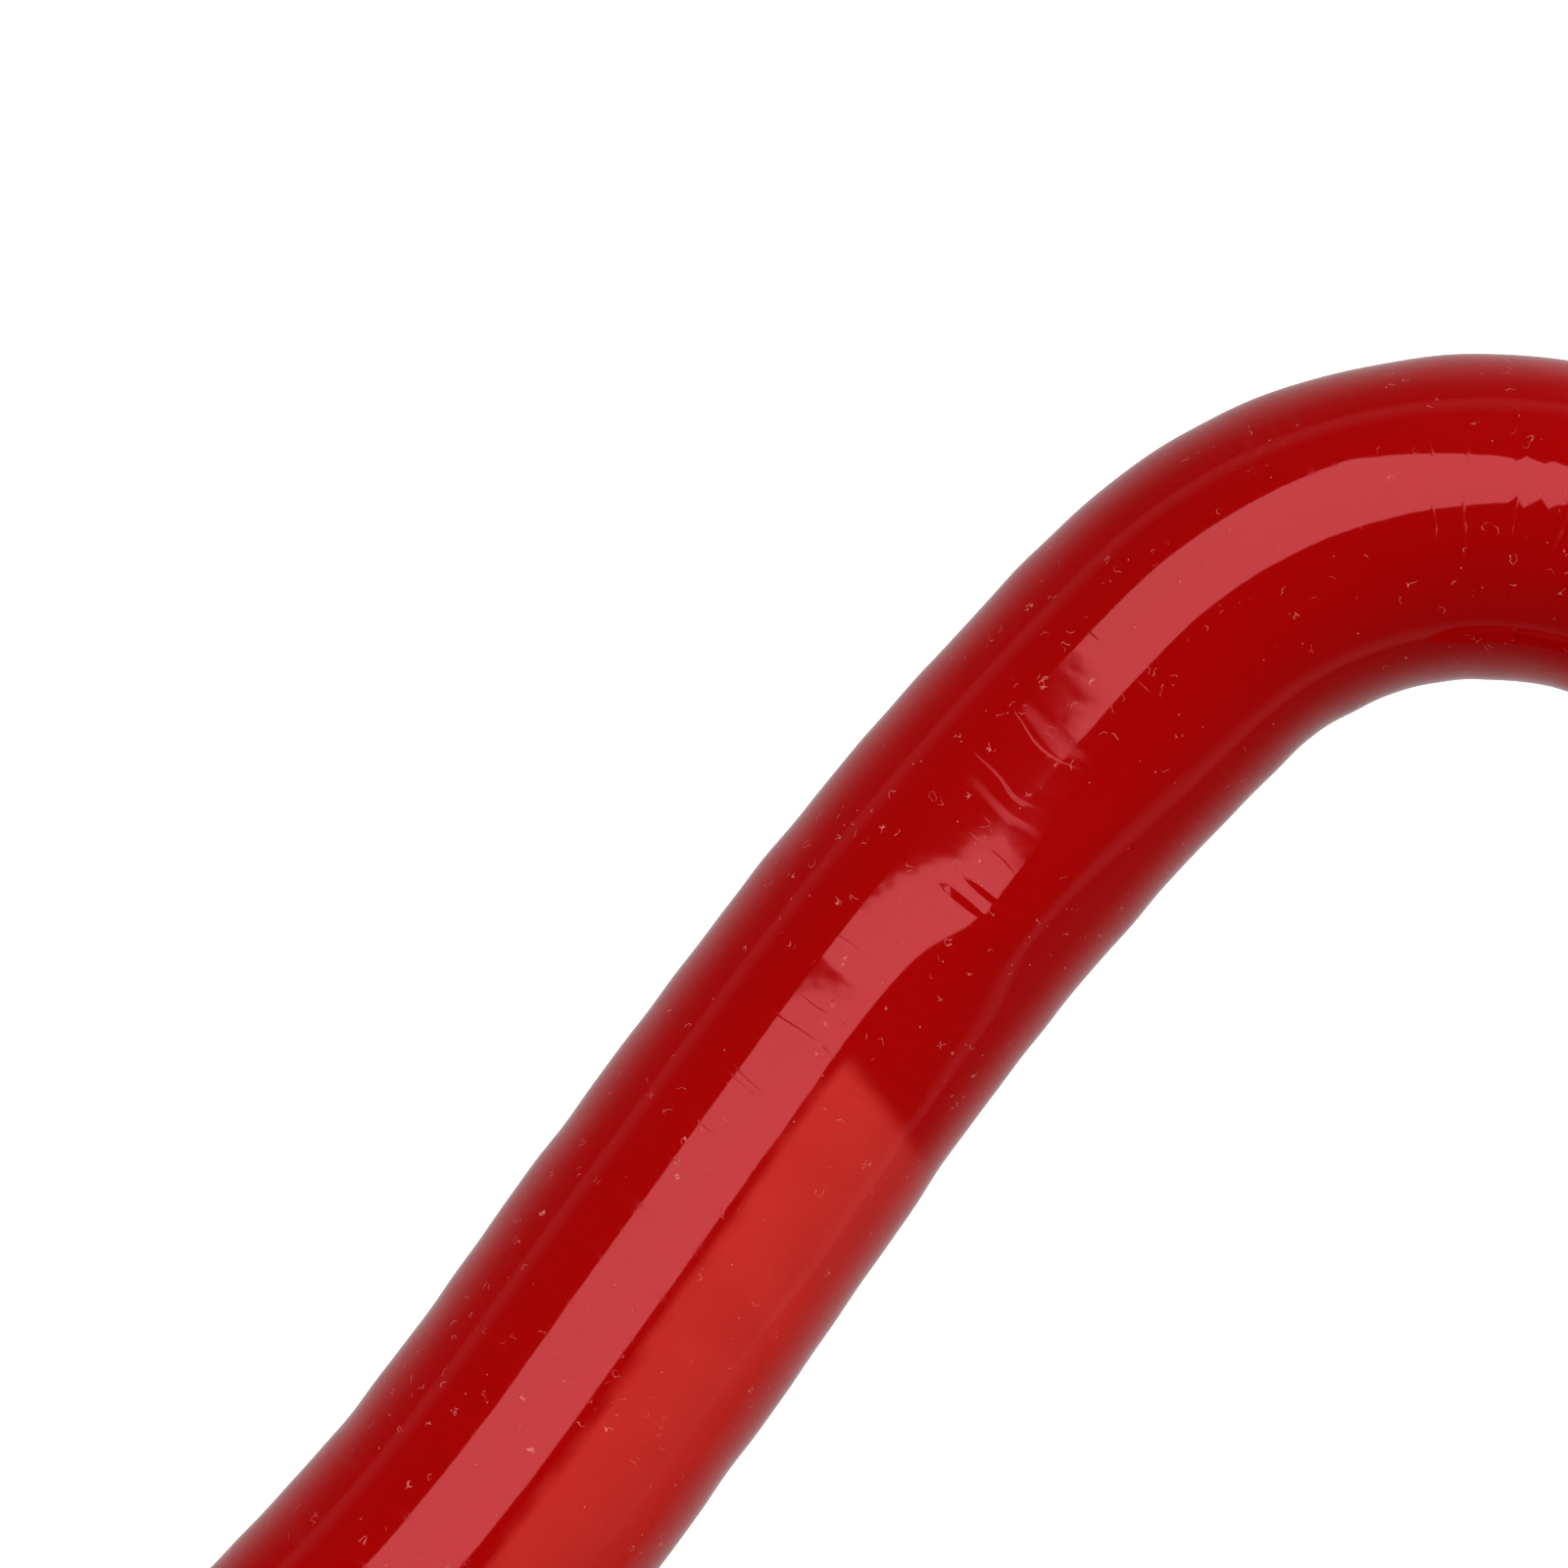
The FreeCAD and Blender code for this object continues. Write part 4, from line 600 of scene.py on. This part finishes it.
prong_low, prong_high = (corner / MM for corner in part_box("shaft_end_sleeve"))
shaft_low, shaft_high = (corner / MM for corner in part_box("shaft"))
shaft_radius = (shaft_high.y - shaft_low.y) / 2
along = np.arange(prong_low.x, prong_high.x + 0.05, 0.2)
s = (along - prong_low.x)[:, None]
angle = round_angles(SLEEVE_AROUND)
PRONG_INSET = 0.12
PRONG_WAVES = [(0.03, 17, 1), (0.02, 9, 2), (0.004, 4, 3)]
PRONG_CREASES = [(9, 20, 40, 0.05, 0.25), (10.2, -30, 30, 0.04, 0.2), (24, -120, 50, 0.05, 0.3),
                 (17, 100, 40, 0.04, 0.2)]
radius = (prong_high.y - prong_low.y) / 2 - PRONG_INSET + rippled(s, angle, PRONG_WAVES, 5)
for details in PRONG_CREASES:
    radius = radius + crease(s, angle, *details)
radius = radius - mouth_round(s)
LINING_RINGS = 12
wall = np.full((LINING_RINGS, SLEEVE_AROUND), shaft_radius + ROD_GAP)
both = np.concatenate([along, np.linspace(prong_high.x, prong_low.x, LINING_RINGS)])
level = np.zeros(len(both))
mesh = skin("shaft_end_pvc_sleeve", rings_along(both, level, level, np.concatenate([radius, wall]), angle))
hidden = np.zeros(wall.size)
add_values(mesh, loose=np.zeros(radius.size + wall.size),
           along=np.concatenate([np.broadcast_to(s, radius.shape).ravel(), hidden]))
add_piece("shaft_end_pvc_sleeve", mesh, vinyl_red, "shaft", "red_sleeve", "shaft_end_sleeve")


# ------------------------------------------------------------------ tip caps
# Dip-moulded PVC cups, stretched over each sleeve's end: a rolled lip, a slightly slack wall and a
# domed end with the small nipple where the last drop ran off the former.

cap_vinyl = finish("moulded_red_vinyl", IOR=1.5, Specular_IOR_Level=0.8, Specular_Tint=(1.0, 0.4, 0.4))
flow = cap_vinyl.noise(cap_vinyl.place(), 0.22, detail=3)
pimples = cap_vinyl.noise(cap_vinyl.place(), 1.6, detail=3)
handled = cap_vinyl.fade(cap_vinyl.noise(cap_vinyl.place(), 0.6, detail=5), 0.55, 0.68)
dipped = cap_vinyl.between(flow, (0.27, 0.0008, 0.0008), (0.34, 0.002, 0.0018))
cap_vinyl.feed(Base_Color=cap_vinyl.between(handled * 0.2, dipped, (0.48, 0.05, 0.045)),
               Roughness=cap_vinyl.fade(pimples, 0.3, 0.7, 0.12, 0.24) + handled * 0.12,
               Normal=cap_vinyl.relief(pimples, 0.012))


def cap_profile(grip, length, bore, outer, wall):
    """A cup's outline as places along its axis and radii: its rim, its dome, then its bore."""
    lip = [(0.05, bore + 0.25), (0.0, outer - 0.55), (0.12, outer - 0.18), (0.45, outer),
           (0.95, outer - 0.02), (1.3, outer - 0.22), (1.7, outer - 0.3)]
    bend = min(outer * 0.5, length - 3.0)
    turn = np.linspace(0, math.pi / 2, 14)
    edge = outer - 0.3
    dome = [(length - 0.25 - bend + bend * math.sin(a), edge - bend + bend * math.cos(a)) for a in turn]
    flat = [(length - 0.22, (edge - bend) * share) for share in (0.8, 0.6, 0.4)]
    nipple = [(length - 0.15, 0.9), (length - 0.02, 0.6), (length, 0.3), (length, 0.0)]
    inside = [(length - wall, 0.0), (length - wall, bore), (grip * 0.5, bore)]
    return np.array(lip + dome + flat + nipple + inside)


CAP_STEP = 0.6
CAP_WAVES = [(0.02, 9, 2)]


def cap(name, node, body, profile, x, y, heading, foot_x=0.0, outwards=1):
    """A cap turned from its outline, from a place and heading in the bar's plane."""
    angle = round_angles(96)
    steps = []
    for first, second in zip(profile, np.roll(profile, -1, axis=0)):
        pieces = max(1, round(float(np.hypot(*(second - first))) / CAP_STEP))
        steps += [first + (second - first) * part / pieces for part in range(pieces)]
    reach, radius = np.array(steps).T
    slack = np.where(radius > 1, 1, 0)[:, None] * rippled(reach[:, None], angle, CAP_WAVES, 8)
    radius = radius[:, None] + slack
    headings = np.full(len(reach), heading)
    x = x + reach * math.cos(heading)
    y = y + reach * math.sin(heading)
    rings = stand(rings_along(x, y, headings, radius, angle), foot_x, outwards)
    add_piece(name, skin(name, rings), cap_vinyl.owner, body, "red_cap", node)


HOOK_CAP_RADIUS = 6.66
HOOK_CAP_WALL = 1.95
for label, body in (("shaft_hook", "shaft"), ("body_hook", "lock_body")):
    rows, foot_x, outwards = hook_line(label)
    x, y, heading, travelled = rows[-1]
    x -= CAP_GRIP * math.cos(heading)
    y -= CAP_GRIP * math.sin(heading)
    profile = cap_profile(CAP_GRIP, CAP_GRIP, ROD_RADIUS + ROD_GAP, HOOK_CAP_RADIUS, HOOK_CAP_WALL)
    cap(f"{label}_dipped_cap", f"{label}_tip_cap", body, profile, x, y, heading, foot_x, outwards)

end_low, end_high = (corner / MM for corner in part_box("shaft_end_cap"))
END_CAP_GRIP = 8.0
END_CAP_WALL = 2.45
END_CAP_INSET = 0.03
end_radius = (end_high.y - end_low.y) / 2 - END_CAP_INSET
profile = cap_profile(END_CAP_GRIP, end_high.x - end_low.x, shaft_radius + ROD_GAP, end_radius,
                      END_CAP_WALL)
cap("shaft_end_dipped_cap", "shaft_end_cap", "shaft", profile, end_low.x, 0.0, 0.0)


# ------------------------------------------------------------------ welds
# Two MIG beads in the grooves where each hook's foot lies along its bar, laid in overlapping drops
# and painted over with the rest.

paint = finish("painted_weld", IOR=1.5, Coat_Weight=0.3, Coat_Roughness=0.08)
scale = paint.noise(paint.place(), 1.4, detail=4)
paint.feed(Base_Color=paint.between(scale, (0.24, 0.003, 0.003), (0.36, 0.008, 0.007)),
           Roughness=paint.fade(scale, 0.3, 0.7, 0.22, 0.42), Normal=paint.relief(scale, 0.05))

BEAD_DROP = 1.25
BEAD_STEP = 0.12
BEAD_RADIUS = 1.35
BEAD_AROUND = 28
BEAD_OFF_AXIS = 2.15
BEAD_WAVES = [(0.05, 3.3, 1), (0.04, 1.9, 2)]
welds = (("shaft_hook", "shaft", shaft_radius), ("body_hook", "lock_body", tube_radius))
for label, body, bar_radius in welds:
    low, high = (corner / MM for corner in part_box(f"{label}_weld"))
    beads = bpy.data.meshes.new(f"{label}_beads")
    both = bmesh.new()
    for side in (1, -1):
        along = np.arange(low.x, high.x + 0.01, BEAD_STEP)
        drop = (along - low.x) / BEAD_DROP
        fill = np.sqrt(np.clip(1 - (2 * (drop % 1) - 1) ** 2, 0, 1)) * 0.16 + 1.0
        taper = np.sqrt(np.clip(np.minimum(along - low.x, high.x - along) / 1.2, 0, 1))
        angle = round_angles(BEAD_AROUND)
        uneven = rippled(along[:, None], angle, BEAD_WAVES, 7 + side)
        size = (BEAD_RADIUS * fill * taper)[:, None] + uneven
        size = np.maximum(size * np.ones_like(angle), 0.0) * (taper[:, None] > 0)
        y = bar_radius + 0.25 + size * np.sin(angle) * 0.8
        z = bar_height / MM + side * (BEAD_OFF_AXIS + size * np.cos(angle) * 0.9)
        rings = np.stack([np.broadcast_to(along[:, None], y.shape), y, z], axis=-1)
        tips = [np.broadcast_to(ring.mean(0), (1, BEAD_AROUND, 3)) for ring in (rings[0], rings[-1])]
        rings = np.concatenate([tips[0], rings, tips[1]])
        bead = skin("bead", rings)
        both.from_mesh(bead)
        bpy.data.meshes.remove(bead)
    both.to_mesh(beads)
    both.free()
    add_piece(f"{label}_weld_beads", beads, paint.owner, body, "weld", f"{label}_weld")


# ------------------------------------------------------------------ lock head
# Two black nylon shells with a fine spark-eroded texture, screwed together round a zinc casting
# that holds the tube, the shaft's sintered bush, the bolt and the key cylinder.

shell = finish("spark_textured_nylon", IOR=1.46)
sparks = shell.noise(shell.place(), 2.4, detail=4)
moulding = shell.noise(shell.place(), 0.05, detail=3)
rub = shell.rubbed(0.5) * shell.fade(shell.noise(shell.place(), 0.4, detail=5), 0.40, 0.58)
marks = shell.fade(shell.noise(shell.place((0.12, 1.4, 1.4)), 0.8, detail=3), 0.68, 0.73)
black = shell.between(moulding, (0.010, 0.010, 0.011), (0.020, 0.020, 0.021))
black = shell.between(marks * 0.4 + rub * 0.5, black, (0.085, 0.085, 0.088))
shell.feed(Base_Color=black, Roughness=shell.fade(sparks, 0.3, 0.7, 0.38, 0.56) - rub * 0.12,
           Normal=shell.relief(sparks, 0.035))
dress(shell.owner, "head_shell_lower", "head_shell_upper")
die_cast = grained("die_cast_zinc", [(0.36, 0.36, 0.37), (0.50, 0.50, 0.51)],
                   (0.42, 0.60), 1.2, 0.03, Metallic=0.9)
dress(die_cast, "lock_block")
bronze = grained("sintered_bronze", [(0.42, 0.25, 0.11), (0.60, 0.40, 0.20)],
                 (0.34, 0.52), 3.2, 0.012, rub=(0.3, (0.70, 0.52, 0.30)), Metallic=1.0)
dress(bronze, "shaft_bush")
black_oxide = grained("black_oxide", [(0.020, 0.020, 0.022), (0.045, 0.044, 0.046)],
                      (0.30, 0.46), 2.6, 0.008, rub=(0.25, (0.22, 0.21, 0.20)), Metallic=0.6)
dress(black_oxide, "shell_screws", "bolt_bore_plug", "cylinder_set_screw")
ground_steel = grained("ground_steel", [(0.38, 0.38, 0.39), (0.55, 0.55, 0.56)],
                       (0.20, 0.34), 3.0, 0.004, stretch=(1, 0.2, 1), Metallic=1.0)
dress(ground_steel, "lock_bolt", "drive_pin")


# ------------------------------------------------------------------ key cylinder
# Turned brass barrel with a nickelled plug and brass wafers; a polished ring dresses its hole.

machined_brass = grained("machined_brass", [(0.58, 0.40, 0.14), (0.74, 0.55, 0.25)],
                         (0.20, 0.36), 2.0, 0.006, stretch=(0.3, 0.3, 2), Metallic=1.0)
dress(machined_brass, "cylinder_shell", "wafers")
chrome = finish("polished_ring", Metallic=1.0)
turning = chrome.noise(chrome.place((1, 1, 4)), 1.6, detail=3)
smears = chrome.noise(chrome.place(), 0.25, detail=5)
chrome.feed(Base_Color=chrome.between(smears, (0.66, 0.66, 0.67), (0.80, 0.80, 0.81)),
            Roughness=chrome.fade(smears, 0.35, 0.68, 0.06, 0.20), Normal=chrome.relief(turning, 0.002))
dress(chrome.owner, "cylinder_ring")

nickel = finish("worn_nickel_plate", Metallic=1.0)
scratches = nickel.noise(nickel.place((0.3, 3, 0.15)), 2.2, detail=4)
use = nickel.fade(nickel.noise(nickel.place(), 0.45, detail=4), 0.48, 0.62) * nickel.rubbed(0.3)
silver = nickel.between(scratches, (0.56, 0.54, 0.50), (0.70, 0.68, 0.63))
nickel.feed(Base_Color=nickel.between(use, silver, (0.66, 0.48, 0.24)),
            Roughness=nickel.fade(scratches, 0.3, 0.7, 0.14, 0.32), Normal=nickel.relief(scratches, 0.004))
dress(nickel.owner, "plug", "key_blade")


# ------------------------------------------------------------------ key
# Nickelled brass blade, cut on both edges, in a black plastic bow with a satin moulded skin.

bow = finish("satin_key_bow", IOR=1.48)
satin = bow.noise(bow.place(), 3.5, detail=3)
hands = bow.noise(bow.place(), 0.12, detail=5)
edge = bow.rubbed(0.7) * bow.fade(bow.noise(bow.place(), 0.6, detail=4), 0.4, 0.6)
plastic = bow.between(hands, (0.011, 0.011, 0.012), (0.019, 0.019, 0.020))
bow.feed(Base_Color=bow.between(edge * 0.45, plastic, (0.07, 0.07, 0.072)),
         Roughness=bow.fade(hands, 0.35, 0.65, 0.28, 0.48), Normal=bow.relief(satin, 0.012))
dress(bow.owner, "key_bow")
